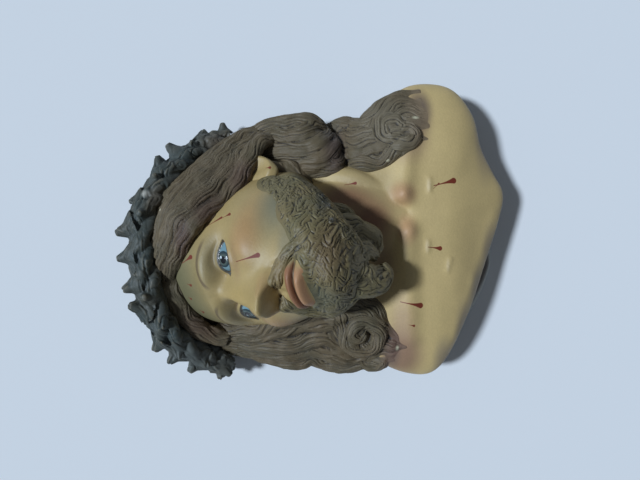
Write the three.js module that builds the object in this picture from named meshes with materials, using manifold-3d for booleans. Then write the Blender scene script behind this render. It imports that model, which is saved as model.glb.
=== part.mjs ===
// A small cast resin bust that lies on its flat back: a bearded man with long wavy hair and a crown of thorns,
// his head thrown back and turned to the viewer's left, and his bare chest cut to a blunt point below.
// The whole bust is one casting, so the shapes below are joined into a single solid.
// Millimetres and degrees: +X is the viewer's right, +Y the top of the head, +Z out of the flat back.
import * as THREE from "three";
import { mergeVertices } from "three/addons/utils/BufferGeometryUtils.js";
import Module from "manifold-3d";

const wasm = await Module();
wasm.setup();

// Driving dimensions. The head's own axes are +X its left, +Y its crown and +Z its face, from its middle.
const HEAD = {
  height: 86, // chin to top of the skull
  width: 57,
  face: 36, // from the middle of the head to the plane of the face
  back: 40,
  jaw: 20, // how far the chin stands forward of the neck
  centre: new THREE.Vector3(-5.5, 16, 17),
  yaw: 23, // turned to the viewer's left
  pitch: 28, // thrown back
  roll: 20, // leaning to the viewer's left
};
const NOSE = { root: 2, tip: -18, base: -21.5, rise: 11, halfWidth: 4.6 };
const EYE = { apart: 11.6, depth: 5.2, spread: 6 };
const MOUTH = { up: -28.7, halfWidth: 9, rise: 3.6 };
const BEARD = { thickness: 4, tufts: 10, tuftWidth: 4.4, tuftHeight: 3.6 };
const HAIR_CAP = 4.5;
const CHEST = { edge: 16, rise: 13, foot: 0.86, columns: 46, rows: 18, centre: [2, -42] };
const HAIR_MASS = { edge: 9, rise: 11, foot: 0.9, columns: 34, rows: 12, centre: [-6, 8] };
const CLAVICLE = { height: 2.2, halfWidth: 4 };
const CROWN = { stem: 3.7, stems: 4, turns: 3.4, rings: 34, sides: 6, halfDepth: 2.7, halfWidth: 5.2 };
const THORN = { count: 24, length: 7.5, foot: 3.2, tip: 0.8 };
const SHORTEST_EDGE = 0.6; // the joins leave slivers, which are closed up to this length

// A geometry with the vertices that share a place joined into one.
function weld(geometry) {
  const bare = geometry.clone();
  bare.deleteAttribute("normal");
  bare.deleteAttribute("uv");
  return mergeVertices(bare, 1e-4);
}

// Turns a closed geometry into a solid that can be joined and cut.
function solid(geometry) {
  const { attributes, index } = weld(geometry);
  return new wasm.Manifold(
    new wasm.Mesh({
      numProp: 3,
      vertProperties: new Float32Array(attributes.position.array),
      triVerts: new Uint32Array(index.array),
    }),
  );
}

// Moves every vertex of a geometry to where the function puts it.
function reshape(geometry, place) {
  const shaped = weld(geometry);
  const position = shaped.attributes.position;
  const point = new THREE.Vector3();
  for (let i = 0; i < position.count; i++) {
    point.fromBufferAttribute(position, i);
    place(point);
    position.setXYZ(i, point.x, point.y, point.z);
  }
  return shaped;
}

const bump = (distance, spread) => Math.exp(-((distance / spread) ** 2));

// Rises smoothly from 0 to 1 as the value goes from one place to another, whichever of them is the higher.
function ease(from, to, value) {
  const t = THREE.MathUtils.clamp((value - from) / (to - from), 0, 1);
  return t * t * (3 - 2 * t);
}

// The matrix that stands the head on the bust.
const headPlace = new THREE.Matrix4()
  .makeRotationFromEuler(
    new THREE.Euler(
      THREE.MathUtils.degToRad(-HEAD.pitch),
      THREE.MathUtils.degToRad(-HEAD.yaw),
      THREE.MathUtils.degToRad(HEAD.roll),
      "ZYX",
    ),
  )
  .setPosition(HEAD.centre);

// How far the face stands out from the plain egg of the head, at a place on the face.
function faceRelief(side, up) {
  const across = Math.abs(side);
  const ridge = ease(NOSE.root + 6, NOSE.tip, up) * ease(NOSE.base - 2, NOSE.base + 1.5, up);
  const nose = NOSE.rise * ridge * bump(across, NOSE.halfWidth);
  const brow = 2.6 * bump(up - 8, 4) * bump(across - 9, 12);
  const socket = EYE.depth * bump(Math.hypot(across - EYE.apart, up - 0.5), EYE.spread);
  const lids = 0.6 * EYE.depth * bump(Math.hypot(across - EYE.apart, 1.5 * up), 0.6 * EYE.spread);
  const cheek = 2.2 * bump(Math.hypot(across - 17, up + 12), 8);
  const lips = MOUTH.rise * bump(across, MOUTH.halfWidth) * bump(up - MOUTH.up, 4);
  const parting = 1.6 * bump(across, MOUTH.halfWidth) * bump(up - MOUTH.up, 1.2);
  return nose + brow - socket + lids + cheek + lips - parting;
}

// How much of the beard covers a place on the head, from 0 on bare skin to 1 inside the beard.
function beardCover(side, up, forward) {
  const across = Math.abs(side);
  const upperEdge = -25 + 13 * ease(10, 27, across) + 4 * bump(across - 5, 5) - 9 * bump(across, 5.5);
  return ease(upperEdge + 2, upperEdge - 2, up) * ease(-14, -6, forward);
}

// The hairline runs over the forehead and down in front of the ears.
function hairCover(side, up, forward) {
  const line = 27 - 0.55 * Math.max(0, Math.abs(side) - 14) - 1.9 * Math.max(0, 12 - forward);
  return ease(line - 2, line + 2, up);
}

// The fullness of the head at a level between its chin at -1 and its top at 1.
const fullness = (level, power, root) => (1 - Math.abs(level) ** power) ** (1 / root);

// A place on the head: a stack of ovals that shift forward to the chin, with the relief of the face on them.
// It stands off the skin by a height. Turn 0 is the middle of the face and a quarter turn is the left ear.
function headPoint(turn, level, height = 0) {
  const low = level < 0;
  const middle = HEAD.jaw * ease(-0.35, -1, level);
  const front = HEAD.face * (low ? fullness(level, 7, 3) : fullness(level, 2.6, 2.2)) - middle;
  const back = THREE.MathUtils.lerp(HEAD.back, 12, ease(-0.1, -0.7, level)) * fullness(level, 2.2, 2.1);
  const halfWidth = (HEAD.width / 2) * (low ? fullness(level, 2.6, 2.2) : fullness(level, 2.2, 2.1));
  const facing = Math.cos(turn);
  const side = halfWidth * Math.sin(turn);
  const up = (level * HEAD.height) / 2;
  const forward = middle + facing * (facing > 0 ? front : back);
  const place = new THREE.Vector3(side, up, forward);
  const out = new THREE.Vector3(side, up * 0.5, forward - middle).normalize();
  if (facing > 0) place.z += faceRelief(side, up) * ease(0, 0.5, facing);
  return place.addScaledVector(out, height);
}

// The skull and face, with the body of the beard and the cap of hair.
function headGeometry() {
  const crowding = 0.6; // sets more of the columns on the face than on the hidden back
  return reshape(new THREE.SphereGeometry(1, 46, 38), (p) => {
    const turn = Math.atan2(p.x, p.z);
    const angle = turn - crowding * Math.sin(turn);
    const level = THREE.MathUtils.clamp(p.y, -0.9999, 0.9999);
    const bare = headPoint(angle, level);
    const beard = beardCover(bare.x, bare.y, bare.z);
    const hair = hairCover(bare.x, bare.y, bare.z);
    p.copy(headPoint(angle, level, beard * BEARD.thickness + (1 - beard) * hair * HAIR_CAP));
  }).applyMatrix4(headPlace);
}

// Outlines run anticlockwise as the viewer sees them.
const outline = (places) =>
  new THREE.CatmullRomCurve3(places.map(([x, y]) => new THREE.Vector3(x, y, 0)), true, "centripetal");

// The chest, from the viewer's right shoulder past the hidden top to the point below.
const chestOutline = outline([
  [59, -47], [57, -36], [47, -25], [26, -10], [0, -5], [-30, -12], [-51, -25], [-58, -41],
  [-54, -52], [-34, -62.5], [-14, -69.5], [5, -75.5], [15, -77], [23, -73], [33, -68], [46, -64.5], [56, -57],
]);

// The mass of hair behind the locks, from the shoulder up round the crown and down to the other shoulder.
const hairOutline = outline([
  [50, -38], [42, -24], [43, -6], [42, 12], [38, 32], [26, 48], [6, 58], [-16, 58], [-36, 48],
  [-46, 32], [-49, 12], [-53, -8], [-53, -28], [-44, -40], [-10, -36], [25, -42],
]);

// How far from a centre an outline runs in any direction.
function outlineReach(curve, centre, steps) {
  const samples = curve.getPoints(steps * 6).map((p) => {
    const x = p.x - centre[0];
    const y = p.y - centre[1];
    return { angle: Math.atan2(y, x), reach: Math.hypot(x, y) };
  });
  return (angle) => {
    const gap = (s) => Math.abs(Math.atan2(Math.sin(s.angle - angle), Math.cos(s.angle - angle)));
    const [a, b] = samples.slice().sort((s, t) => gap(s) - gap(t));
    return (a.reach * gap(b) + b.reach * gap(a)) / Math.max(1e-9, gap(a) + gap(b));
  };
}

// A pillow on an outline: a rounded front, an edge that turns under, and a flat back a little smaller than the front.
function pillow(curve, { edge, rise, foot, columns, rows, centre }, relief = () => 0) {
  const reach = outlineReach(curve, centre, columns);
  return reshape(new THREE.SphereGeometry(1, columns, rows).rotateX(Math.PI / 2), (p) => {
    const angle = Math.atan2(p.y, p.x);
    const out = Math.min(1, Math.hypot(p.x, p.y));
    const front = p.z > 0;
    const spread = (front ? out : Math.max(out * foot, out - 1 + foot)) * reach(angle);
    const x = centre[0] + Math.cos(angle) * spread;
    const y = centre[1] + Math.sin(angle) * spread;
    const height = front
      ? edge + (rise + relief(x, y)) * Math.abs(p.z) ** 0.8
      : edge * (1 - Math.abs(p.z) ** 0.35);
    p.set(x, y, p.z < -0.2 ? 0 : height);
  });
}

// The height of a ridge that runs along a line from one point to another.
function ridge(x, y, from, to, halfWidth) {
  const along = new THREE.Vector2(to[0] - from[0], to[1] - from[1]);
  const t = THREE.MathUtils.clamp(((x - from[0]) * along.x + (y - from[1]) * along.y) / along.lengthSq(), 0, 1);
  return bump(Math.hypot(x - from[0] - t * along.x, y - from[1] - t * along.y), halfWidth);
}

// The collarbones and the pit between them.
function chestRelief(x, y) {
  const near = ridge(x, y, [12, -33], [40, -38], CLAVICLE.halfWidth);
  const far = ridge(x, y, [-2, -35], [-42, -38], CLAVICLE.halfWidth);
  return CLAVICLE.height * (near + far) - 2.5 * bump(Math.hypot(x - 5, y + 33), 4);
}

// A closed bar swept along a smooth curve through a few points. Its width lies across the surface below it,
// its thickness stands off that surface, and both taper to the ends.
function sweep(points, { width, thickness, rings = 13, sides = 8, tip = 0.25, root = 0.6, outward }) {
  const curve = new THREE.CatmullRomCurve3(points.map((p) => new THREE.Vector3(...p)));
  return reshape(new THREE.CylinderGeometry(1, 1, 1, sides, rings), (p) => {
    const t = p.y + 0.5;
    const centre = curve.getPoint(t);
    const along = curve.getTangent(t);
    const off = outward(centre).addScaledVector(along, -outward(centre).dot(along)).normalize();
    const across = new THREE.Vector3().crossVectors(along, off);
    const size = Math.min(root + (1 - root) * ease(0, 0.25, t), tip + (1 - tip) * ease(1, 0.55, t));
    const { x, z } = p;
    p.copy(centre).addScaledVector(across, x * width * size).addScaledVector(off, z * thickness * size);
  });
}

// Hair stands off the flat back, and leans away from the head at the sides.
const hairOutward = (p) => new THREE.Vector3(p.x - HEAD.centre.x, 0, 38).normalize();

// The long locks, each a path over the temple, past the neck or onto the shoulder.
const LOCKS = [
  { width: 6.5, thickness: 4.5, path: [[-9, 52, 31], [5, 50, 36], [17, 43, 34], [27, 33, 29], [34, 24, 24]] },
  { width: 5.5, thickness: 4, path: [[-13, 49, 34], [0, 45, 39], [8, 38, 40], [15, 31, 38], [25, 26, 33], [33, 20, 26]] },
  { width: 7.5, thickness: 7.5, path: [[33, 30, 14], [37, 18, 16], [37.5, 8, 18], [36, 0, 21], [31, -6, 24], [24.5, -11.5, 26]] },
  { width: 6.5, thickness: 6, path: [[29, 24, 20], [30, 12, 22], [29, 2, 23], [25, -7, 25]] },
  { width: 5.5, thickness: 7, path: [[36, -6, 13], [39, -14, 16], [37.5, -21, 19], [43, -27, 21], [48, -34, 22], [47, -42, 23]] },
  { width: 5.5, thickness: 6, path: [[29, -8, 17], [30.5, -19, 20], [35, -26, 23], [39, -33, 25], [43, -41, 26]] },
  { width: 4.2, thickness: 5, path: [[25, -10, 19], [26, -21, 22], [30, -30, 25], [34, -37, 26], [36, -43, 27]] },
  { width: 6, thickness: 7, path: [[-47, 34, 12], [-45, 25, 13], [-49.5, 14, 13], [-50, 6, 13], [-46.5, -1, 14], [-51.5, -10, 13], [-51.5, -20, 14], [-49.5, -33, 19]] },
  { width: 6.5, thickness: 8, path: [[-41, 32, 17], [-42, 20, 19], [-40, 11, 20], [-35.5, 3, 21], [-39.5, -7, 21], [-42, -16, 22], [-40, -25, 23], [-43, -34, 24]] },
  { width: 5, thickness: 7, path: [[-36, 22, 21], [-33.5, 7, 25], [-29.5, -4, 26], [-29, -13, 26], [-32, -21, 26], [-38, -28, 26], [-42, -35, 25]] },
];

// The crown's own line: an arch from behind the viewer's left temple, over the forehead, to behind the right ear.
const crownLine = new THREE.CatmullRomCurve3(
  [
    [-47, 30, 7], [-46.5, 39, 17], [-39, 49, 27], [-29, 55.5, 33], [-17.5, 59.5, 35.5], [-6, 62, 34],
    [5.5, 62, 30], [17, 57.5, 25], [27, 50.5, 19], [34.5, 42, 13], [38.5, 34, 6],
  ].map((p) => new THREE.Vector3(...p)),
);
const crownCore = new THREE.Vector3(-4, 33, 8);

// One of the stems twisted together round the crown's line.
function crownStem(index) {
  const points = [];
  for (let i = 0; i <= CROWN.rings; i++) {
    const t = i / CROWN.rings;
    const centre = crownLine.getPointAt(t);
    const along = crownLine.getTangentAt(t);
    const out = centre.clone().sub(crownCore);
    out.addScaledVector(along, -out.dot(along)).normalize();
    const up = new THREE.Vector3().crossVectors(along, out);
    const turn = 2 * Math.PI * (CROWN.turns * t + index / CROWN.stems);
    centre.addScaledVector(out, CROWN.halfDepth * Math.cos(turn));
    points.push(centre.addScaledVector(up, CROWN.halfWidth * Math.sin(turn)).toArray());
  }
  const size = { width: CROWN.stem, thickness: CROWN.stem, rings: CROWN.rings, sides: CROWN.sides };
  return sweep(points, { ...size, tip: 0.9, root: 0.9, outward: (p) => p.clone().sub(crownCore) });
}

// A short blunt thorn that stands on the crown, leaning a little along it.
function thorn(index) {
  const t = (index + 0.5) / THORN.count;
  const centre = crownLine.getPointAt(t);
  const along = crownLine.getTangentAt(t);
  const out = centre.clone().sub(crownCore);
  out.addScaledVector(along, -out.dot(along)).normalize();
  const up = new THREE.Vector3().crossVectors(along, out);
  const turn = [0.1, 1.0, -0.5][index % 3];
  const way = out.multiplyScalar(Math.cos(turn)).addScaledVector(up, Math.sin(turn) * (up.z < 0 ? -1 : 1));
  way.addScaledVector(along, index % 2 ? 0.35 : -0.35).normalize();
  const lift = CROWN.halfDepth + CROWN.stem + THORN.length / 2 - 3;
  const place = new THREE.Matrix4().compose(
    centre.addScaledVector(way, lift),
    new THREE.Quaternion().setFromUnitVectors(new THREE.Vector3(0, 1, 0), way),
    new THREE.Vector3(1, 1, 1),
  );
  return new THREE.CylinderGeometry(THORN.tip, THORN.foot, THORN.length, 6, 1).applyMatrix4(place);
}

// The neck rises from the chest to the jaw, with the cord of muscle from behind the ear to the collarbone.
function neckSolids() {
  const outward = () => new THREE.Vector3(0, 0, 1);
  const column = sweep([[6, -42, 8], [4, -28, 12], [1, -12, 15], [0, 4, 14]],
    { width: 24, thickness: 18, rings: 10, sides: 20, tip: 0.9, root: 1.12, outward });
  const cord = sweep([[22, 8, 24], [22, -6, 25], [19, -18, 25], [13, -32, 26]],
    { width: 4.5, thickness: 5, rings: 10, sides: 8, tip: 0.6, root: 0.9, outward });
  return [solid(column), solid(cord)];
}

// The near ear shows only its lower half under the hair.
function earGeometry() {
  const place = new THREE.Matrix4()
    .makeRotationZ(THREE.MathUtils.degToRad(-8))
    .setPosition(HEAD.width / 2 + 0.5, -9, -3);
  return new THREE.SphereGeometry(1, 12, 10).scale(3.4, 9.5, 6).applyMatrix4(place).applyMatrix4(headPlace);
}

// The beard ends in two short curls side by side under the chin.
function beardCurls() {
  const outward = (p) => new THREE.Vector3(p.x + 12, p.y + 5, p.z - 30).normalize();
  const size = { width: 4.2, thickness: 4.6, rings: 9, sides: 8, tip: 0.6, root: 0.8, outward };
  const near = sweep([[-5, -6, 50], [-2, -15, 50], [-3.5, -22, 47], [-8.5, -23.5, 45.5], [-10, -20, 46]], size);
  const far = sweep([[-17, -5, 56], [-20, -15, 55], [-20, -24, 51], [-15.5, -27, 48], [-12.5, -24, 47.5]], size);
  return [solid(near), solid(far)];
}

// A tuft of beard that lies on the head along places given as turn, level and height.
function tuftOnHead(places, width, thickness) {
  const path = places.map(([turn, level, height]) => headPoint(turn, level, height).applyMatrix4(headPlace).toArray());
  const outward = (p) => p.clone().sub(HEAD.centre);
  return solid(sweep(path, { width, thickness, rings: 7, sides: 6, tip: 0.6, root: 0.7, outward }));
}

// Short wavy tufts hang side by side along the jaw, from one ear to the other, and a moustache frames the mouth.
function beardTufts() {
  const tufts = [];
  for (let index = 0; index < BEARD.tufts; index++) {
    const turn = THREE.MathUtils.lerp(-1.25, 1.45, (index + 0.5) / BEARD.tufts);
    const top = -0.42 - 0.36 * Math.cos(turn) ** 4;
    const places = [0, 1, 2, 3].map((i) => {
      const wave = 0.07 * (i % 2 ? 1 : -1);
      const sweepBack = 0.08 * i * Math.sin(turn);
      return [turn + wave - sweepBack, THREE.MathUtils.lerp(top, -0.96, i / 3), BEARD.thickness - (i === 0 ? 2 : 0.6)];
    });
    tufts.push(tuftOnHead(places, BEARD.tuftWidth, BEARD.tuftHeight));
  }
  for (const side of [-1, 1]) {
    const places = [[0.03 * side, -0.56, 1], [0.24 * side, -0.6, 1.6], [0.42 * side, -0.7, 1.8], [0.5 * side, -0.8, 2]];
    tufts.push(tuftOnHead(places, 2.4, 2));
  }
  return tufts;
}

// The largest connected skin of a mesh, which leaves out the small hollows shut inside the joined shapes.
function outerSkin(mesh) {
  const parent = Array.from({ length: mesh.numVert }, (_, i) => i);
  const rootOf = (i) => {
    while (parent[i] !== i) i = parent[i] = parent[parent[i]];
    return i;
  };
  const corners = mesh.triVerts;
  for (let i = 0; i < corners.length; i += 3) {
    parent[rootOf(corners[i + 1])] = rootOf(corners[i]);
    parent[rootOf(corners[i + 2])] = rootOf(corners[i]);
  }
  const skins = new Map();
  for (let i = 0; i < corners.length; i += 3) {
    const root = rootOf(corners[i]);
    if (!skins.has(root)) skins.set(root, []);
    skins.get(root).push(corners[i], corners[i + 1], corners[i + 2]);
  }
  return [...skins.values()].sort((a, b) => b.length - a.length)[0];
}

// Closes the edges shorter than a limit, shortest first, where that keeps the skin whole and turns no face over.
// A vertex on the flat back stays there.
function closeShortEdges(points, corners, shortest) {
  const faces = [];
  for (let i = 0; i < corners.length; i += 3) faces.push([corners[i], corners[i + 1], corners[i + 2]]);
  const around = points.map(() => new Set());
  faces.forEach((face, i) => face.forEach((v) => around[v].add(i)));
  const facing = (face, moved, to) => {
    const [a, b, c] = face.map((v) => (moved.includes(v) ? to : points[v]));
    return b.clone().sub(a).cross(c.clone().sub(a));
  };
  const beside = (v) => new Set([...around[v]].flatMap((i) => faces[i]).filter((w) => w !== v));
  const close = (a, b) => {
    const near = beside(a);
    if (!near.has(b) || [...beside(b)].filter((v) => near.has(v)).length !== 2) return 0;
    const to = points[a].clone().lerp(points[b], 0.5);
    if (points[a].z < 1e-6) to.copy(points[a]);
    if (points[b].z < 1e-6) to.copy(points[b]);
    const both = [...around[a]].filter((i) => around[b].has(i));
    const kept = [...new Set([...around[a], ...around[b]])].filter((i) => !both.includes(i));
    const turned = kept.some((i) => facing(faces[i], [], to).dot(facing(faces[i], [a, b], to)) < 0);
    if (turned && points[a].distanceTo(points[b]) > 0.1 * shortest) return 0;
    both.forEach((i) => faces[i].forEach((v) => around[v].delete(i)));
    around[b].forEach((i) => {
      faces[i] = faces[i].map((v) => (v === b ? a : v));
      around[a].add(i);
    });
    around[b].clear();
    points[a] = to;
    return 1;
  };
  for (let closed = 1; closed > 0; ) {
    const short = [];
    around.forEach((_, a) => {
      for (const b of beside(a)) {
        const length = points[a].distanceTo(points[b]);
        if (a < b && length < shortest) short.push({ a, b, length });
      }
    });
    short.sort((p, q) => p.length - q.length);
    closed = short.reduce((sum, { a, b }) => sum + close(a, b), 0);
  }
  return [...new Set(around.flatMap((set) => [...set]))].flatMap((i) => faces[i]);
}

// Everything is joined, then cut off flat behind. The origin lies on the back, under the middle of the outline.
function bustGeometry() {
  const masses = [
    solid(pillow(chestOutline, CHEST, chestRelief)),
    solid(pillow(hairOutline, HAIR_MASS)),
    solid(headGeometry()),
    solid(earGeometry()),
    ...neckSolids(),
    ...beardCurls(),
    ...beardTufts(),
    ...LOCKS.map((lock) => solid(sweep(lock.path, { ...lock, outward: hairOutward }))),
    ...Array.from({ length: CROWN.stems }, (_, i) => solid(crownStem(i))),
    ...Array.from({ length: THORN.count }, (_, i) => solid(thorn(i))),
  ];
  const behind = solid(new THREE.BoxGeometry(300, 300, 100).translate(0, 0, -50));
  const mesh = wasm.Manifold.union(masses).subtract(behind).getMesh();
  const points = Array.from({ length: mesh.numVert }, (_, i) => new THREE.Vector3().fromArray(mesh.vertProperties, 3 * i));
  const corners = closeShortEdges(points, outerSkin(mesh), SHORTEST_EDGE);
  const geometry = new THREE.BufferGeometry().setFromPoints(corners.map((v) => points[v]));
  const joined = mergeVertices(geometry, 1e-5);
  joined.computeBoundingBox();
  const middle = joined.boundingBox.getCenter(new THREE.Vector3());
  joined.translate(-middle.x, -middle.y, 0);
  joined.computeVertexNormals();
  return joined;
}

const resin = new THREE.MeshStandardMaterial({ color: 0xc2a070, roughness: 0.55, metalness: 0 });
const bust = new THREE.Mesh(bustGeometry(), resin);
bust.name = "bust";

const sculpture = new THREE.Group();
sculpture.add(bust);
export default sculpture;
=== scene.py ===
"""A small painted resin bust of a bearded man with wavy hair and a crown of thorns, lying on its flat back.

The shapes are worked out in millimetres, where +X is the viewer's right, +Y the top of the head and +Z out of
the flat back. Each piece is set down in the frame, in metres, when it is finished.
"""

from math import pi, radians

import bpy
import numpy as np
from mathutils import Matrix, Vector
from mathutils.bvhtree import BVHTree


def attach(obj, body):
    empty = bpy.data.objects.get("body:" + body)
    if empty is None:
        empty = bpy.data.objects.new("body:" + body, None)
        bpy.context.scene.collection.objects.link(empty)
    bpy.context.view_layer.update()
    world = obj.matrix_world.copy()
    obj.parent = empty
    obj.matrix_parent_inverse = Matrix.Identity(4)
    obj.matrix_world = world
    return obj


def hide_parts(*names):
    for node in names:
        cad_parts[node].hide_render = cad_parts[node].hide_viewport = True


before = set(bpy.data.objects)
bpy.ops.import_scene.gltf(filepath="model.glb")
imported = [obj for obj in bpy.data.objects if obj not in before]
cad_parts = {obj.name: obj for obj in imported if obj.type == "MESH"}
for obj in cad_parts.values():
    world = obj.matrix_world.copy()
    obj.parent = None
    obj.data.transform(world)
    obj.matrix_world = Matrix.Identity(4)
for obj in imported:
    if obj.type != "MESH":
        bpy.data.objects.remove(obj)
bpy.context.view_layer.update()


# The head: skull, face and ear, cast and hand painted. An egg drawn in ovals from chin to crown carries the
# face, and it is thrown back, turned to the viewer's left and leaning over.
head_height = 86.0
head_width = 57.0
head_front = 36.0
head_back = 40.0
chin_forward = 20.0
face_squareness = 0.9
head_underside = 1.5
head_middle = np.array([-5.5, 16.0, 17.0])
head_turn = np.array(
    Matrix.Rotation(radians(20), 3, "Z")
    @ Matrix.Rotation(radians(-23), 3, "Y")
    @ Matrix.Rotation(radians(-28), 3, "X")
)
eye_apart = 11.5
eye_level = 0.2
eye_half_width = 5.7
eyeball = 6.6
lid_ball = 7.4
upper_lid = 2.7
lower_lid = -1.9
lid_roundness = 2.2
lid_tilt = 0.3
nose_root = 5.0
nose_tip = -16.4
mouth_level = -26.6
mouth_bow = 0.012
ear_half_height = 9.4
ear_half_depth = 7.2

# Each swelling of the face: how far it stands out, its middle across and up, and its reach across and up.
face_swellings = [
    (2.0, 9.5, 8.4, 9.0, 3.4),  # brow ridge
    (0.8, 0, 8, 5, 5),  # between the brows
    (-4.6, 11.8, 0.4, 7.8, 5.6),  # eye socket
    (-1.7, 5.6, 2.4, 3, 3),  # inner corner of the socket
    (1.2, 0, nose_tip + 0.8, 3.4, 3.4),  # ball of the nose
    (4.3, 4.9, nose_tip - 1.2, 2.3, 2.9),  # wing of the nose
    (-2.2, 2.7, nose_tip - 3.1, 1.5, 1.0),  # nostril
    (2.4, 0, mouth_level + 0.5, 13, 8),  # muzzle
    (2.6, 0, -38.5, 8, 5),  # chin
    (-1.4, 0, -32.8, 7, 2.2),  # dip under the lower lip
    (2.3, 17.5, -9.5, 8, 6),  # cheekbone
    (-1.3, 18, -22, 8, 8),  # hollow of the cheek
    (-1.0, 24, 10, 7, 7),  # temple
]


def bump(distance, spread):
    return np.exp(-((distance / spread) ** 2))


def ease(start, end, value):
    t = np.clip((value - start) / (end - start), 0, 1)
    return t * t * (3 - 2 * t)


def unit(vectors):
    return vectors / np.maximum(1e-9, np.linalg.norm(vectors, axis=-1, keepdims=True))


def fullness(level, power, root):
    return np.maximum(0, 1 - np.abs(level) ** power) ** (1 / root)


def lid_lines(x):
    """Heights of the edges of the upper and the lower lid above the middle of the eye."""
    part = np.clip(x / eye_half_width, -1, 1)
    top = upper_lid * (1 - np.abs(part) ** lid_roundness) + lid_tilt * part
    return top, lower_lid * (1 - part**2) + lid_tilt * part


def face_relief(side, up):
    """How far the face stands forward of the plain egg."""
    across = np.abs(side)
    face = 0.0
    for height, beside, above, wide, tall in face_swellings:
        face = face + height * bump(np.hypot((across - beside) / wide, (up - above) / tall), 1)
    along = np.clip((nose_root - up) / (nose_root - nose_tip), 0, 1)
    underside = ease(nose_tip - 3.6, nose_tip - 0.6, up)
    nose = 11 * along**1.1 * underside * np.exp(-((across / (3.1 + 1.7 * along)) ** 2.3))
    philtrum = 0.6 * bump(across, 1.2) * ease(mouth_level + 2, mouth_level + 4, up) * ease(-19.5, -21, up)
    from_mouth = up - mouth_level + mouth_bow * across**2
    upper_lip = 1.9 * bump(from_mouth - 1.4, 1.35) * ease(9.6, 5.5, across)
    lower_lip = 2.5 * bump(from_mouth + 2.0, 1.8) * ease(8.8, 4, across)
    parting = 1.9 * bump(from_mouth, 0.5) * ease(10, 8, across)
    corners = 0.9 * bump(np.hypot(across - 9.6, from_mouth), 1.7)
    fold_t = np.clip((-17.5 - up) / 11, 0, 1)
    fold = 0.8 * bump(across - 7.4 - 4.4 * fold_t, 1.5) * ease(-16, -19, up) * ease(-30, -26, up)
    face = face + nose + upper_lip + lower_lip - philtrum - parting - corners - fold
    x = across - eye_apart
    y = up - eye_level
    from_eye = np.hypot(x, y)
    ball = -2.3 + np.sqrt(np.maximum(0, eyeball**2 - from_eye**2)) - eyeball
    lid = -1.5 + np.sqrt(np.maximum(0, lid_ball**2 - from_eye**2)) - lid_ball
    top, bottom = lid_lines(x)
    crease = 0.7 * bump(y - top - 2.3, 0.75) * bump(x, 5)
    blend = np.clip(0.5 + (lid - face) / 2.4, 0, 1)
    around = face + (lid - face) * blend + 1.2 * blend * (1 - blend) - crease
    opening = ease(-0.15, 0.15, np.minimum(top - y, y - bottom)) * (np.abs(x) < eye_half_width)
    return around + (ball - around) * opening


def head_half_width(level):
    """Half the width of the head at a level, which runs from -1 at the chin to 1 at the crown."""
    fullest = np.where(level < 0, fullness(level, 2.1, 1.75), fullness(level, 2.2, 2.1))
    return head_width / 2 * fullest


def head_point(turn, level, height=0.0, carved=True):
    """Places on the head in its own axes: its left, up and forward. Turn 0 is the middle of the face."""
    low = level < 0
    middle = chin_forward * ease(-0.35, -1, level)
    front = head_front * np.where(low, fullness(level, 7, 3), fullness(level, 2.6, 2.2)) - middle
    back = (head_back + (12 - head_back) * ease(-0.1, -0.7, level)) * fullness(level, 2.2, 2.1)
    half = head_half_width(level)
    facing = np.cos(turn)
    squareness = np.where(facing > 0, face_squareness, 1.0)
    side = half * np.sign(np.sin(turn)) * np.abs(np.sin(turn)) ** squareness
    up = level * head_height / 2
    forward = middle + np.sign(facing) * np.abs(facing) ** squareness * np.where(facing > 0, front, back)
    out = unit(np.stack([side, up * 0.5, forward - middle], -1))
    if carved:
        forward = forward + face_relief(side, up) * ease(0, 0.5, facing)
    return np.stack([side, up, forward], -1) + out * np.asarray(height)[..., None]


def on_bust(places):
    """Turns places in the head's own axes into places on the bust."""
    return places @ head_turn.T + head_middle


def skin(rings, start, end):
    """A closed skin over rings, with a point at each end: its points and its triangles, facing out."""
    rows, columns = rings.shape[:2]
    points = np.vstack([start, rings.reshape(-1, 3), end])
    here = np.arange(rows * columns).reshape(rows, columns) + 1
    beside = np.roll(here, -1, axis=1)
    last = len(points) - 1
    faces = np.vstack(
        [
            np.stack([here[:-1], beside[:-1], beside[1:]], -1).reshape(-1, 3),
            np.stack([here[:-1], beside[1:], here[1:]], -1).reshape(-1, 3),
            np.stack([np.zeros(columns, int), beside[0], here[0]], -1),
            np.stack([np.full(columns, last), here[-1], beside[-1]], -1),
        ]
    )
    a, b, c = (points[faces[:, i]] for i in range(3))
    inside_out = np.einsum("ij,ij->i", a, np.cross(b, c)).sum() < 0
    return points, faces[:, ::-1] if inside_out else faces


def capped(rings):
    """A closed skin over rings, with a point in the middle of the first and of the last."""
    return skin(rings, rings[0].mean(axis=0)[None], rings[-1].mean(axis=0)[None])


def head_skin(rows, columns, height=None):
    """The whole head in its own axes, with its columns crowded on the face. It may stand off by a height."""
    step = np.linspace(-1, 1, rows + 2)[1:-1]
    level = (0.65 * step + 0.35 * np.sin(step * pi / 2))[:, None]
    angle = np.linspace(-pi, pi, columns, endpoint=False)[None, :]
    turn = angle - 0.55 * np.sin(angle)
    level = level + 0 * turn
    rings = head_point(turn, level)
    if height:
        rings = head_point(turn, level, height(rings))
    ends = head_point(np.array([0.0, 0.0]), np.array([-1.0, 1.0]), 0.0, False)
    return skin(rings, ends[:1], ends[1:])


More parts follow.
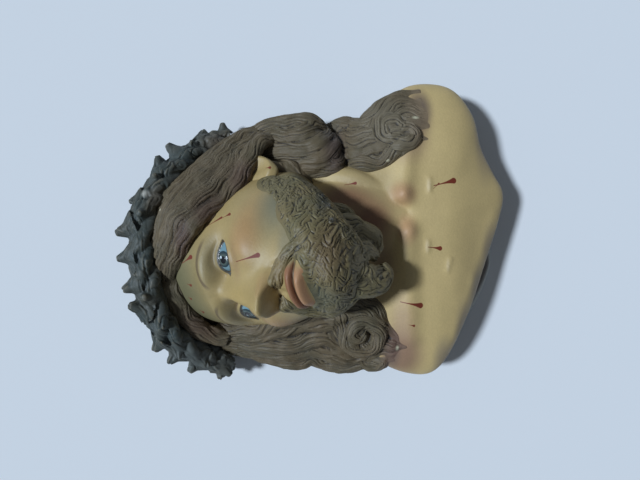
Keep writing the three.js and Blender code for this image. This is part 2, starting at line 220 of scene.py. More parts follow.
def ear_skin():
    """The left ear, seen only in its lower half: an oval dish with a rolled rim and a lobe."""
    rows, columns = 46, 72
    tilt = np.linspace(0, pi, rows + 2)[1:-1][:, None]
    angle = np.linspace(0, 2 * pi, columns, endpoint=False)[None, :]
    reach = np.sin(tilt)
    up = ear_half_height * reach * np.sin(angle)
    back = ear_half_depth * reach * np.cos(angle) * (1 + 0.25 * np.sin(angle))
    outer = np.cos(tilt) > 0
    part = np.hypot(up / ear_half_height, back / ear_half_depth)
    thick = np.where(outer, 2.6, 4.6) * np.cos(tilt) + 0 * angle
    rim = 0.9 * bump(part - 0.8, 0.16) * ease(-9, -5, up)
    bowl = 2.2 * bump(np.hypot((up - 0.5) / 5.2, (back - 0.5) / 3.0), 1)
    lobe = 0.5 * bump(np.hypot(up + 7.4, back + 0.6), 2.6)
    thick = thick + (rim - bowl + lobe) * outer - 1.2 * ease(0, -5, back)
    flare = np.array(Matrix.Rotation(radians(-10), 3, "Z") @ Matrix.Rotation(radians(-38), 3, "Y"))
    places = np.stack([thick, up, -back], -1) @ flare.T
    return capped(places + np.array([head_width / 2 + 1.6, -4.0, -1.4]))


# The middle of the bust's outline, which stands at the frame's origin.
outline_middle = np.array([0.397, -2.132, 0.0])


def joined(solids):
    """Several skins as one set of points and triangles."""
    starts = np.cumsum([0] + [len(points) for points, _ in solids[:-1]])
    points = np.vstack([points for points, _ in solids])
    return points, np.vstack([faces + start for (_, faces), start in zip(solids, starts)])


def put(name, data):
    """A new object in the scene."""
    thing = bpy.data.objects.new(name, data)
    bpy.context.collection.objects.link(thing)
    return thing


def mesh_of(name, points, faces):
    mesh = bpy.data.meshes.new(name)
    mesh.from_pydata(points.tolist(), [], faces.tolist())
    mesh.update()
    return mesh


def relaxed(points, faces, rounds):
    """Moves each point half way to the middle of its neighbours, some rounds over."""
    ends = np.vstack([faces[:, [0, 1]], faces[:, [1, 2]], faces[:, [2, 0]]])
    count = np.maximum(1, np.bincount(ends[:, 0], minlength=len(points)))[:, None]
    for _ in range(rounds):
        total = [np.bincount(ends[:, 0], points[ends[:, 1], i], len(points)) for i in range(3)]
        points = points + 0.5 * (np.stack(total, -1) / count - points)
    return points


def add_values(mesh, name, values):
    """Stores a number, or a place, for each point of a mesh."""
    kind = "FLOAT_VECTOR" if values.ndim == 2 else "FLOAT"
    layer = mesh.attributes.new(name, kind, "POINT")
    layer.data.foreach_set("vector" if values.ndim == 2 else "value", values.astype(np.float32).ravel())


def hollows(points, faces, rounds):
    """How far each point lies below the skin's own average there: above 0 in a groove, below 0 on a ridge."""
    a, b, c = (points[faces[:, i]] for i in range(3))
    face_out = np.cross(b - a, c - a)
    out = [sum(np.bincount(faces[:, k], face_out[:, i], len(points)) for k in range(3)) for i in range(3)]
    below = relaxed(points, faces, rounds) - points
    return np.einsum("ij,ij->i", below, unit(np.stack(out, -1)))


def set_down(name, points, faces, material, **values):
    """Makes the finished piece: in metres, in its place in the frame, with the CAD body it stands for."""
    mesh = mesh_of(name, (points - outline_middle) * 0.001, faces)
    mesh.polygons.foreach_set("use_smooth", np.ones(len(mesh.polygons), bool))
    for key, given in values.items():
        add_values(mesh, key, given)
    mesh.materials.append(material)
    piece = put(name, mesh)
    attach(piece, "root")
    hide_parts("bust")
    return piece


def add_node(tree, kind, inputs=(), **settings):
    """Adds a node, sets its options and sets or links its inputs, by name or number: its outputs."""
    node = tree.nodes.new(kind)
    for key, value in settings.items():
        setattr(node, key, value)
    for key, value in dict(inputs).items():
        if isinstance(value, bpy.types.NodeSocket):
            tree.links.new(value, node.inputs[key])
        else:
            node.inputs[key].default_value = value
    return node.outputs


def calc(tree, operation, a, b=0.0, c=0.0):
    return add_node(tree, "ShaderNodeMath", {0: a, 1: b, 2: c}, operation=operation)[0]


def times(tree, first, *others):
    for other in others:
        first = calc(tree, "MULTIPLY", first, other)
    return first


def calc3(tree, operation, a, b=(0, 0, 0)):
    out = add_node(tree, "ShaderNodeVectorMath", {0: a, 1: b}, operation=operation)
    return out["Value"] if operation in {"LENGTH", "DISTANCE", "DOT_PRODUCT"} else out["Vector"]


def scaled(tree, vector, factor):
    return add_node(tree, "ShaderNodeVectorMath", {0: vector, "Scale": factor}, operation="SCALE")["Vector"]


def place_of(tree, x, y, z=0.0):
    return add_node(tree, "ShaderNodeCombineXYZ", {0: x, 1: y, 2: z})[0]


def fade(tree, value, start, end):
    """1 at start and 0 at end, smoothly between."""
    inputs = {"Value": value, "From Min": start, "From Max": end, "To Min": 1.0, "To Max": 0.0}
    return add_node(tree, "ShaderNodeMapRange", inputs, interpolation_type="SMOOTHSTEP")["Result"]


def near(tree, value, inside, outside):
    """1 where a value is closer to 0 than one distance, and 0 past another."""
    return fade(tree, calc(tree, "ABSOLUTE", value), inside, outside)


def noise_at(tree, place, scale=1.0, detail=0.0, roughness=0.5):
    """A noise from -1 to 1."""
    inputs = {"Vector": place, "Scale": scale, "Detail": detail, "Roughness": roughness}
    return calc(tree, "MULTIPLY_ADD", add_node(tree, "ShaderNodeTexNoise", inputs)[0], 2.0, -1.0)


def opaque(colour):
    return (*colour, 1) if isinstance(colour, tuple) else colour


def painted(tree, under, colour, mask, strength=1.0):
    """A coat of colour over another where a mask lets it."""
    if strength != 1.0:
        mask = times(tree, mask, strength)
    inputs = {"Factor": mask, 6: opaque(under), 7: opaque(colour)}
    return add_node(tree, "ShaderNodeMix", inputs, data_type="RGBA")[2]


socket_kinds = {
    "number": "NodeSocketFloat",
    "count": "NodeSocketInt",
    "place": "NodeSocketVector",
    "shape": "NodeSocketGeometry",
    "material": "NodeSocketMaterial",
}


def new_tree(kind, name, inputs, outputs):
    """An empty node tree with named inputs and outputs: the tree, its inputs and its end."""
    tree = bpy.data.node_groups.new(name, kind)
    for way, sockets in (("INPUT", inputs), ("OUTPUT", outputs)):
        for label, what in sockets.items():
            tree.interface.new_socket(label, in_out=way, socket_type=socket_kinds[what])
    return tree, tree.nodes.new("NodeGroupInput").outputs, tree.nodes.new("NodeGroupOutput").inputs


def use_group(tree, group, **inputs):
    return add_node(tree, "ShaderNodeGroup", inputs, node_tree=group)


def soft_spot_group():
    """An airbrushed oval: a mask round a centre with a size along each axis, in millimetres."""
    inputs = {"Place": "place", "Centre": "place", "Size": "place", "Strength": "number"}
    tree, given, end = new_tree("ShaderNodeTree", "soft spot", inputs, {"Mask": "number"})
    away = calc3(tree, "SUBTRACT", given["Place"], given["Centre"])
    reach = calc3(tree, "LENGTH", calc3(tree, "DIVIDE", away, given["Size"]))
    tree.links.new(times(tree, fade(tree, reach, 0.25, 1.25), given["Strength"]), end["Mask"])
    return tree


def blood_drop_group():
    """A run of red paint from a fine trail at its top to a drop at its foot, as the painter sees it."""
    inputs = {"Place": "place", "Top": "place", "Foot": "place", "Radius": "number"}
    tree, given, end = new_tree("ShaderNodeTree", "blood drop", inputs, {"Mask": "number"})
    run = calc3(tree, "SUBTRACT", given["Foot"], given["Top"])
    away = calc3(tree, "MULTIPLY", calc3(tree, "SUBTRACT", given["Place"], given["Top"]), (1.0, 1.0, 0.0))
    share = calc(tree, "DIVIDE", calc3(tree, "DOT_PRODUCT", away, run), calc3(tree, "DOT_PRODUCT", run, run))
    along = add_node(tree, "ShaderNodeClamp", {"Value": share})[0]
    reach = calc3(tree, "LENGTH", calc3(tree, "SUBTRACT", away, scaled(tree, run, along)))
    swell = calc(tree, "MULTIPLY_ADD", calc(tree, "POWER", along, 3.0), 0.85, 0.15)
    edge = times(tree, swell, given["Radius"])
    tree.links.new(fade(tree, calc(tree, "SUBTRACT", reach, edge), -0.12, 0.12), end["Mask"])
    return tree


def grain_group():
    """The unevenness of hand-laid paint: broad clouds and fine specks, each from -1 to 1."""
    outputs = {"Clouds": "number", "Specks": "number"}
    tree, given, end = new_tree("ShaderNodeTree", "grain", {"Place": "place"}, outputs)
    for label, scale, detail in (("Clouds", 0.09, 3.0), ("Specks", 1.3, 4.0)):
        tree.links.new(noise_at(tree, given["Place"], scale, detail, 0.6), end[label])
    return tree


soft_spot = soft_spot_group()
blood_drop = blood_drop_group()
grain = grain_group()


def in_millimetres(tree):
    """Object coordinates in the millimetres that the shapes are worked out in."""
    coordinates = add_node(tree, "ShaderNodeTexCoord")["Object"]
    inputs = {"Vector": coordinates, "Location": tuple(outline_middle), "Scale": (1000, 1000, 1000)}
    return add_node(tree, "ShaderNodeMapping", inputs)[0]


def value_of(tree, name, output="Fac"):
    return add_node(tree, "ShaderNodeAttribute", attribute_name=name)[output]


def new_material(name, roughness):
    """A material with its tree and its shader's inputs."""
    material = bpy.data.materials.new(name)
    material.use_nodes = True
    tree = material.node_tree
    shader = tree.nodes["Principled BSDF"].inputs
    shader["Roughness"].default_value = roughness
    return material, tree, shader


def airbrush(tree, place, paint, spots):
    """Lays soft spots of colour one over another: (colour, centre, size, strength)."""
    for colour, centre, size, strength in spots:
        mask = use_group(tree, soft_spot, Place=place, Centre=centre, Size=size, Strength=strength)["Mask"]
        paint = painted(tree, paint, colour, mask)
    return paint


def bloodied(tree, place, paint, drops):
    """Paints the drops, and gives back the paint and the mask of them all."""
    mask = 0.0
    for top, foot, radius in drops:
        drop = use_group(tree, blood_drop, Place=place, Top=(*top, 0), Foot=(*foot, 0), Radius=radius)["Mask"]
        mask = calc(tree, "MAXIMUM", drop, mask)
    return painted(tree, paint, blood_colour, mask), mask


def uneven(tree, paint, noise, clouds):
    """Paint laid a little lighter and darker in clouds and specks."""
    specks = calc(tree, "MULTIPLY_ADD", noise["Specks"], 0.12, 1.0)
    return scaled(tree, paint, calc(tree, "MULTIPLY_ADD", noise["Clouds"], clouds, specks))


def pored(tree, specks):
    """The fine unevenness of the painted resin, as a normal."""
    return add_node(tree, "ShaderNodeBump", {"Height": specks, "Distance": 0.00006, "Strength": 0.7})[0]


def link_up(tree, shader, **coats):
    """Links paint, gloss and relief to the shader's inputs."""
    for name, value in coats.items():
        tree.links.new(value, shader[name.replace("_", " ")])


blood_colour = (0.19, 0.032, 0.014)

# The airbrushed shades: each colour, its middle and its reach in millimetres, and its strength. On the face
# they are in the head's own axes, and each is laid on both sides.
face_shades = [
    ((0.36, 0.27, 0.12), (11.5, 6.5, 28), (9, 5, 30), 0.8),
    ((0.26, 0.2, 0.1), (11.5, 5.0, 28), (8, 3.0, 30), 0.7),
    ((0.36, 0.22, 0.11), (11.5, -4.5, 28), (7.5, 3.2, 30), 0.6),
    ((0.44, 0.225, 0.095), (18, -10, 22), (9, 7, 30), 0.6),
    ((0.2, 0.19, 0.125), (23, -21, 10), (11, 10, 30), 0.9),
    ((0.24, 0.21, 0.13), (13, -25, 30), (8, 4, 30), 0.7),
    ((0.24, 0.21, 0.13), (0, -35, 36), (10, 4, 30), 0.7),
    ((0.46, 0.31, 0.1), (0, -8, 40), (5, 10, 30), 0.5),
    ((0.45, 0.26, 0.11), (5.5, -17, 36), (2.4, 3.4, 30), 0.45),
    # painted shade: the crown's shadow on the forehead, a broad dark olive spot
    ((0.18, 0.162, 0.083), (0, 23, 24), (34, 17, 30), 0.97),
]
face_drops = [
    ((-12.2, 46.5), (-10.0, 42.9), 0.85),
    ((-19.8, 45.0), (-20.2, 43.4), 0.5),
    ((-25.0, 45.6), (-25.6, 44.4), 0.4),
    ((-30.0, 41.6), (-30.8, 40.4), 0.5),
    ((0.2, 38.6), (4.0, 31.6), 0.4),
    ((4.0, 31.0), (5.1, 28.6), 0.55),
    ((-11.2, 25.2), (-8.9, 17.4), 0.85),
    ((23.0, 17.2), (23.0, 15.6), 0.55),
]


def head_paint():
    """The face: ochre flesh with airbrushed shades, painted eyes, brows and lips, runs of red, and the
    crown's shadow painted on the forehead.
    """
    material, tree, shader = new_material("face paint", 0.5)
    place = in_millimetres(tree)
    on_face = add_node(tree, "ShaderNodeSeparateXYZ", {0: value_of(tree, "face_place", "Vector")})
    beside = calc(tree, "ABSOLUTE", on_face[0])
    up = on_face[1]
    front = fade(tree, on_face[2], 14, 10)
    paint = airbrush(tree, place_of(tree, beside, up, on_face[2]), (0.43, 0.305, 0.125), face_shades)

    below = calc(tree, "SUBTRACT", up, mouth_level)
    mouth = calc(tree, "MULTIPLY_ADD", times(tree, beside, beside), mouth_bow, below)
    upper_lip = near(tree, calc(tree, "SUBTRACT", mouth, 1.4), 1.0, 1.7)
    lower_lip = near(tree, calc(tree, "ADD", mouth, 1.9), 1.5, 2.3)
    between = near(tree, mouth, 0.25, 0.6)
    for colour, lip, narrow, wide in (
        ((0.33, 0.15, 0.075), upper_lip, 7.5, 9.5),
        ((0.45, 0.235, 0.115), lower_lip, 6.2, 8.8),
        ((0.12, 0.035, 0.022), between, 8, 9.6),
    ):
        paint = painted(tree, paint, colour, times(tree, lip, fade(tree, beside, narrow, wide)))

    x = calc(tree, "SUBTRACT", beside, eye_apart)
    y = calc(tree, "SUBTRACT", up, eye_level)
    part = calc(tree, "DIVIDE", x, eye_half_width)
    tilt = times(tree, part, lid_tilt)
    bowed = calc(tree, "SUBTRACT", 1.0, calc(tree, "POWER", calc(tree, "ABSOLUTE", part), lid_roundness))
    top = calc(tree, "MULTIPLY_ADD", bowed, upper_lid, tilt)
    bowed = calc(tree, "SUBTRACT", 1.0, times(tree, part, part))
    bottom = calc(tree, "MULTIPLY_ADD", bowed, lower_lid, tilt)
    inside = calc(tree, "MINIMUM", calc(tree, "SUBTRACT", top, y), calc(tree, "SUBTRACT", y, bottom))
    opening = times(tree, fade(tree, inside, 0.1, -0.1), front)
    iris = calc3(tree, "LENGTH", place_of(tree, x, calc(tree, "SUBTRACT", y, 0.55)))
    glint = place_of(tree, calc(tree, "SUBTRACT", x, 0.9), calc(tree, "SUBTRACT", y, 1.4))
    paint = painted(tree, paint, (0.2, 0.33, 0.37), opening)
    for colour, away, start, end in (
        ((0.028, 0.05, 0.06), iris, 2.5, 2.75),
        ((0.1, 0.13, 0.11), iris, 1.2, 2.4),
        ((0.012, 0.012, 0.014), iris, 1.1, 1.3),
        ((0.7, 0.78, 0.8), calc3(tree, "LENGTH", glint), 0.3, 0.5),
    ):
        paint = painted(tree, paint, colour, times(tree, opening, fade(tree, away, start, end)))
    lashes = times(tree, near(tree, inside, 0.22, 0.55), front)
    paint = painted(tree, paint, (0.035, 0.035, 0.035), lashes, 0.8)
    arch = calc(tree, "SUBTRACT", up, calc(tree, "MULTIPLY_ADD", times(tree, x, x), -0.045, 10.3))
    brow = times(tree, near(tree, arch, 0.35, 1.1), near(tree, calc(tree, "ADD", x, 0.2), 5.5, 8.5), front)
    paint = painted(tree, paint, (0.13, 0.085, 0.045), brow, 0.75)

    noise = use_group(tree, grain, Place=place)
    paint = uneven(tree, paint, noise, 0.16)
    paint = painted(tree, paint, (0.16, 0.1, 0.05), fade(tree, value_of(tree, "groove"), 3.0, 0.3))
    paint, wet = bloodied(tree, place, paint, face_drops)
    gloss = calc(tree, "MULTIPLY_ADD", opening, -0.3, calc(tree, "MULTIPLY_ADD", wet, 0.1, 0.5))
    link_up(tree, shader, Base_Color=paint, Roughness=gloss, Normal=pored(tree, noise["Specks"]))
    return material


own_places, head_faces = joined([head_skin(rows=250, columns=262), ear_skin()])
head_points = on_bust(own_places)
head_points[:, 2] = np.maximum(head_points[:, 2], head_underside)
head_grooves = hollows(head_points, head_faces, 4) / 0.1
set_down("head", head_points, head_faces, head_paint(), face_place=own_places, groove=head_grooves)


# The body: neck, shoulders and chest with the flat back, one smooth mass of flesh-painted resin. The chest is
# a pillow on its own outline whose edge turns under, and a backing of the same kind stands behind the hair.
chest_outline = [
    (59, -47), (57, -36), (47, -25), (26, -10), (0, -5), (-30, -12), (-51, -25), (-58, -41), (-54, -52),
    (-34, -62.5), (-14, -69.5), (5, -75.5), (15, -77), (23, -73), (33, -68), (46, -64.5), (56, -57),
]
hair_outline = [
    (50, -38), (42, -24), (43, -6), (42, 12), (38, 32), (26, 48), (6, 58), (-18, 59), (-33, 55.5),
    (-43, 50.5), (-51.5, 41), (-52, 31), (-50, 12), (-53, -8), (-53, -28), (-44, -40), (-10, -36),
    (25, -42),
]
raised_bars = [
    ((14.6, -44.8), (19.6, -44.9)),
    ((-8.0, -44.0), (-4.6, -44.3)),
    ((-15.8, -51.6), (-11.4, -53.0)),
]


def smooth_path(places, count, closed=False):
    """Places along a smooth curve through a few points."""
    given = np.array(places, float)
    if closed:
        line = np.vstack([given[-1:], given, given[:2]])
        spans = len(given)
    else:
        line = np.vstack([2 * given[0] - given[1], given, 2 * given[-1] - given[-2]])
        spans = len(given) - 1
    t = np.linspace(0, spans, count, endpoint=not closed)
    i = np.minimum(t.astype(int), spans - 1)
    f = (t - i)[:, None]
    a, b, c, d = line[i], line[i + 1], line[i + 2], line[i + 3]
    return 0.5 * (2 * b + (c - a) * f + (2 * a - 5 * b + 4 * c - d) * f**2 + (3 * b - a - 3 * c + d) * f**3)


def pillow(outline, centre, edge, rise, foot, relief=None, inset=0.0):
    """A rounded mass on an outline, with an edge that turns under and a flat back, smaller than its front."""
    line = smooth_path(outline, 600, closed=True) - np.array(centre)
    angle_there = np.arctan2(line[:, 1], line[:, 0])
    reach_there = np.hypot(line[:, 0], line[:, 1]) - inset
    rows, columns = 170, 360
    tilt = np.linspace(0, pi, rows + 2)[1:-1][:, None]
    angle = np.linspace(-pi, pi, columns, endpoint=False)[None, :]
    order = np.argsort(angle_there)
    reach = np.interp(angle, angle_there[order], reach_there[order], period=2 * pi)
    out = np.sin(tilt)
    height = np.cos(tilt) + 0 * angle
    front = height > 0
    under = np.clip(-height / 0.3, 0, 1)
    turned_in = np.where(under < 1, 1 - (1 - foot) * under**1.6, foot * out / 0.954)
    spread = np.where(front, out, turned_in) * reach
    x = centre[0] + np.cos(angle) * spread
    y = centre[1] + np.sin(angle) * spread
    lift = rise + (relief(x, y) if relief else 0)
    z = np.where(front, edge + lift * np.abs(height) ** 0.8, edge * (1 - under**0.75))
    return capped(np.stack([x, y, z], -1))


def ridge(x, y, start, end, spread):
    """A long bump that runs along a line."""
    run = np.array(end) - np.array(start)
    t = np.clip(((x - start[0]) * run[0] + (y - start[1]) * run[1]) / (run @ run), 0, 1)
    return bump(np.hypot(x - start[0] - t * run[0], y - start[1] - t * run[1]), spread)


def chest_relief(x, y):
    """The collarbones with their knobs, the pit between them, the rim and the bars that the mould left."""
    bones = 2.2 * (ridge(x, y, (12, -34), (40, -38), 4) + ridge(x, y, (-2, -36), (-42, -38), 4))
    knobs = 1.7 * bump(np.hypot(x - 13.5, y + 35), 3.2) + 1.4 * bump(np.hypot(x - 0.5, y + 37), 3.2)
    hollow = 2.5 * bump(np.hypot(x - 7, y + 33), 3.6) + 1.2 * ridge(x, y, (9, -22), (7.5, -33), 2.2)
    bars = sum(0.7 * ridge(x, y, start, end, 0.8) for start, end in raised_bars)
    fall = 5.0 * ease(-50, -74, y + 0.16 * np.abs(x))
    rim = ridge(x, y, (-46, -54), (-20, -63.2), 1.9) + ridge(x, y, (-20, -63.2), (6, -72), 1.9)
    return bones + knobs - hollow + bars - fall + 0.6 * rim


def tapered(t, root, tip, full=0.2, falling=0.6):
    """A size along a lock: from its root's share up to full, and down to its tip's share."""
    return np.minimum(root + (1 - root) * ease(0, full, t), tip + (1 - tip) * ease(1, falling, t))


def guide(path, width, thickness, outward, tip=0.35, root=0.7, count=70):
    """A line along a few places, the way out of the surface under it, and its half width and thickness."""
    line = smooth_path(path, count)
    size = tapered(np.linspace(0, 1, count), root, tip)
    return line, outward(line), width * size, thickness * size


def swept(line, outward, width, thickness, sides=32):
    """A closed bar along a guide line, oval in section."""
    along = unit(np.gradient(line, axis=0))
    off = unit(outward - along * np.sum(outward * along, axis=-1, keepdims=True))
    across = np.cross(along, off) * width[:, None]
    angle = np.linspace(0, 2 * pi, sides, endpoint=False)[None, :, None]
    section = across[:, None] * np.cos(angle) + (off * thickness[:, None])[:, None] * np.sin(angle)
    return skin(line[:, None] + section, line[:1], line[-1:])


def sweep(path, width, thickness, outward, tip=0.35, root=0.7, sides=32):
    return swept(*guide(path, width, thickness, outward, tip, root), sides)


def arrays_of(mesh):
    """A mesh's points and triangles."""
    points = np.empty(len(mesh.vertices) * 3)
    mesh.vertices.foreach_get("co", points)
    mesh.calc_loop_triangles()
    faces = np.empty(len(mesh.loop_triangles) * 3, int)
    mesh.loop_triangles.foreach_get("vertices", faces)
    return points.reshape(-1, 3), faces.reshape(-1, 3)


def evaluated(thing):
    """The mesh of an object with its modifiers applied. The object is then taken away."""
    graph = bpy.context.evaluated_depsgraph_get()
    made = bpy.data.meshes.new_from_object(thing.evaluated_get(graph))
    bpy.data.objects.remove(thing)
    return made


def modified(name, points, faces, kind, **settings):
    """A skin's points and triangles after one modifier."""
    thing = put(name, mesh_of(name, points, faces))
    modifier = thing.modifiers.new(name, kind)
    for key, value in settings.items():
        setattr(modifier, key, value)
    return arrays_of(evaluated(thing))


def keep_largest(points, faces):
    """Leaves out every skin but the largest, such as the small hollows shut inside joined shapes."""
    label = np.arange(len(points))
    while True:
        lowest = label.copy()
        for i, j in ((0, 1), (1, 2), (2, 0)):
            np.minimum.at(lowest, faces[:, i], label[faces[:, j]])
            np.minimum.at(lowest, faces[:, j], label[faces[:, i]])
        lowest = lowest[lowest]
        if np.array_equal(lowest, label):
            break
        label = lowest
    main = np.bincount(label).argmax()
    kept = label == main
    number = np.cumsum(kept) - 1
    return points[kept], number[faces[kept[faces[:, 0]]]]


def fused(name, solids, voxel, triangles, soften, lowest=0.0, carve=None):
    """Joins overlapping solids into one skin, rounds the joints, carves it and flattens its underside."""
    points, faces = joined(solids)
    points[:, 2] = np.maximum(points[:, 2], lowest)
    points, faces = keep_largest(*modified(name, points, faces, "REMESH", mode="VOXEL", voxel_size=voxel))
    points = relaxed(points, faces, soften)
    if carve:
        points, faces = carve(points, faces)
    points[:, 2] = np.maximum(points[:, 2], lowest)
    return modified(name, points, faces, "DECIMATE", ratio=min(1.0, triangles / len(faces)))


def upward(places):
    return np.zeros_like(places) + np.array([0, 0, 1.0])


chest_shades = [
    ((0.4, 0.29, 0.135), (14, -20, 24), (16, 15, 40), 0.8),
    # the next two: dark reddish-brown paint on the neck under the beard, deepened as painted shade where the
    # beard shades it
    ((0.23, 0.095, 0.05), (3, -22, 22), (11, 11, 40), 0.9),
    ((0.23, 0.095, 0.05), (12, -12, 22), (6, 12, 40), 0.8),
    ((0.22, 0.12, 0.07), (-14, -27, 22), (14, 6, 40), 0.7),
    ((0.5, 0.26, 0.135), (13.5, -34.5, 26), (5.5, 6, 20), 0.75),
    ((0.5, 0.26, 0.135), (0, -36, 26), (7, 4.5, 20), 0.7),
    ((0.24, 0.13, 0.085), (-49, -35, 20), (12, 10, 30), 0.85),
    ((0.36, 0.21, 0.13), (-38, -35, 20), (16, 6, 30), 0.6),
    ((0.24, 0.14, 0.095), (44, -40, 20), (13, 7, 30), 0.7),
    ((0.34, 0.2, 0.13), (34, -36, 20), (10, 10, 30), 0.6),
    ((0.15, 0.105, 0.075), (46.5, -42, 20), (9, 5, 30), 0.9),
    ((0.15, 0.1, 0.075), (-48, -31, 18), (9, 4, 30), 0.8),
    # painted shade: the next five darken the side of the low edge, which turns away from the lamp
    ((0.25, 0.19, 0.14), (-50, -52, 20), (9, 5, 40), 0.6),
    ((0.25, 0.19, 0.14), (-38, -60, 20), (12, 4.5, 40), 0.6),
    ((0.25, 0.19, 0.14), (-24, -66, 20), (12, 4.5, 40), 0.65),
    ((0.25, 0.19, 0.14), (-8, -71, 20), (12, 4.5, 40), 0.6),
    ((0.3, 0.22, 0.15), (32, -68, 20), (16, 4, 40), 0.4),
]
bar_shades = [
    ((0.66, 0.5, 0.27), ((x0 + x1) / 2, (y0 + y1) / 2 + 0.3, 28), (3.0, 0.9, 20), 0.8)
    for (x0, y0), (x1, y1) in raised_bars
]
chest_drops = [
    ((-27.5, -33.8), (-28.9, -41.4), 1.1),
    ((-36.3, -37.0), (-36.7, -39.0), 0.5),
    ((-6.6, -44.2), (-7.1, -48.8), 0.9),
    ((16.8, -46.5), (18.8, -54.2), 1.15),
    ((15.6, -46.2), (17.6, -48.4), 0.35),
    ((17.2, -12.5), (17.8, -16.6), 0.6),
]


def body_paint():
    """Flesh, blushed at the collarbones, darker under the hair, with painted shade under the beard and along
    the low edge.
    """
    material, tree, shader = new_material("chest paint", 0.55)
    place = in_millimetres(tree)
    paint = airbrush(tree, place, (0.6, 0.435, 0.19), chest_shades + bar_shades)
    noise = use_group(tree, grain, Place=place)
    height = add_node(tree, "ShaderNodeSeparateXYZ", {0: place})[2]
    low = calc(tree, "MULTIPLY_ADD", noise["Clouds"], 3.0, height)
    # Painted shade: grey-brown, then dark grey, towards the sheet on the turned-under edge, which faces away
    # from the lamp.
    paint = painted(tree, paint, (0.26, 0.2, 0.15), fade(tree, low, 13, 20.5), 0.75)
    paint = painted(tree, paint, (0.15, 0.13, 0.12), fade(tree, low, 4, 14), 0.85)
    paint = uneven(tree, paint, noise, 0.12)
    paint, wet = bloodied(tree, place, paint, chest_drops)
    paint = painted(tree, paint, (0.62, 0.62, 0.57), fade(tree, height, 2.4, 3.4), 0.9)
    paint = painted(tree, paint, (0.5, 0.48, 0.43), fade(tree, height, 0.15, 0.4))
    gloss = calc(tree, "MULTIPLY_ADD", wet, -0.12, 0.55)
    link_up(tree, shader, Base_Color=paint, Roughness=gloss, Normal=pored(tree, noise["Specks"]))
    return material


neck_line = [(6, -42, 8), (4, -28, 12), (1, -12, 15), (0, 4, 14)]
neck_cord = [(21, 8, 17), (21, -6, 20.5), (19, -18, 23.5), (14, -33, 24.5)]
resin_lip = [(-40, -58, 0.6), (-30, -64.6, 1), (-19, -69.6, 1.4), (-8, -72.6, 1.4), (5, -75, 0.6)]
body_solids = [
    pillow(chest_outline, (2, -42), 16, 13, 0.86, chest_relief),
    pillow(hair_outline, (-6, 8), 9, 10, 0.9, inset=1.2),
    sweep(neck_line, 23, 18, upward, tip=0.9, root=1.12, sides=64),
    sweep(neck_cord, 4.6, 5.0, upward, tip=0.6, root=0.9),
    sweep(resin_lip, 5.8, 2.4, upward, tip=0.3, root=0.3),
]
body_points, body_faces = fused("body", body_solids, voxel=0.45, triangles=90000, soften=8)
set_down("body", body_points, body_faces, body_paint())


# The hair: long locks that fall from a parting, sweep over the ear and lie on the shoulders, cast in one with
# the head. Each lock is a body swept along its path with grooves combed along it, and a cap fills the scalp.
# A lock is given as its half width, its thickness and the places on its path.
temple_locks = [
    (3.6, 3.2, [(-20, 55.5, 31), (-14.6, 52.6, 35.4), (-7.7, 48.8, 39.5), (-0.8, 44.3, 42),
        (4.2, 40.6, 41.5), (8.6, 35.6, 38.5), (13.6, 30.6, 34.5), (21, 26.6, 31), (28.4, 23.6, 28),
        (34.4, 19.8, 24), (37.4, 13.6, 18)]),
    (3.8, 3.2, [(-18, 57.5, 31), (-13, 54.4, 36), (-6, 51.4, 40), (2.3, 48, 42), (7.6, 43.9, 41),
        (12.3, 39, 38), (17.6, 34.2, 33), (25, 30, 28), (33.1, 25.7, 22), (38, 20, 18)]),
    (3.8, 3.2, [(-16, 59, 31), (-10, 56.4, 35), (-4.5, 54, 37), (4.6, 51.2, 38.6), (10.6, 47.6, 37.6),
        (16.5, 43.2, 34.5), (22.4, 38.1, 29.5), (30, 33.2, 24), (36.9, 28.3, 18), (40.5, 21, 15)]),
    (4.2, 3.4, [(-7.7, 56.5, 33), (2, 55.4, 33), (10, 52.4, 32), (16.4, 47.6, 30), (22.6, 43, 26),
        (29.5, 37.2, 21.5), (36.8, 29.8, 14), (40.5, 22, 11)]),
    (4.4, 3.4, [(-17, 53.5, 33), (-24, 52.5, 31), (-31, 50, 28), (-36.5, 46.5, 25), (-40.8, 40.8, 22),
        (-43, 34, 19)]),
]
right_locks = [
    (4.6, 4.6, [(38.6, 25.7, 13), (41, 18, 15), (42.3, 8.2, 17), (42.6, 1.5, 17.5), (40.6, -3.5, 17),
        (36.8, -7, 17)]),
    (4.4, 5.0, [(34.8, 23, 17), (36, 14, 19), (36, 5.7, 21), (38.2, 0.6, 21), (40.6, -3.4, 18.5)]),
    (4.2, 5.0, [(31, 19, 18), (30.6, 10, 21), (30.2, 3.4, 23), (32.3, -2, 23.5), (36.4, -5.5, 21),
        (40, -6.6, 16.5)]),
    (3.8, 4.8, [(27.4, 11.5, 18), (25.6, 5.6, 21), (25.6, -0.3, 24), (28, -5.3, 24.5), (32.8, -8.5, 22),
        (38.4, -8.2, 17)]),
    (3.2, 4.2, [(24.4, 5.9, 18), (23.4, 0.2, 21.5), (23.9, -5.9, 23.5), (26.4, -10.2, 23.5),
        (31.4, -10.4, 20.5)]),
]
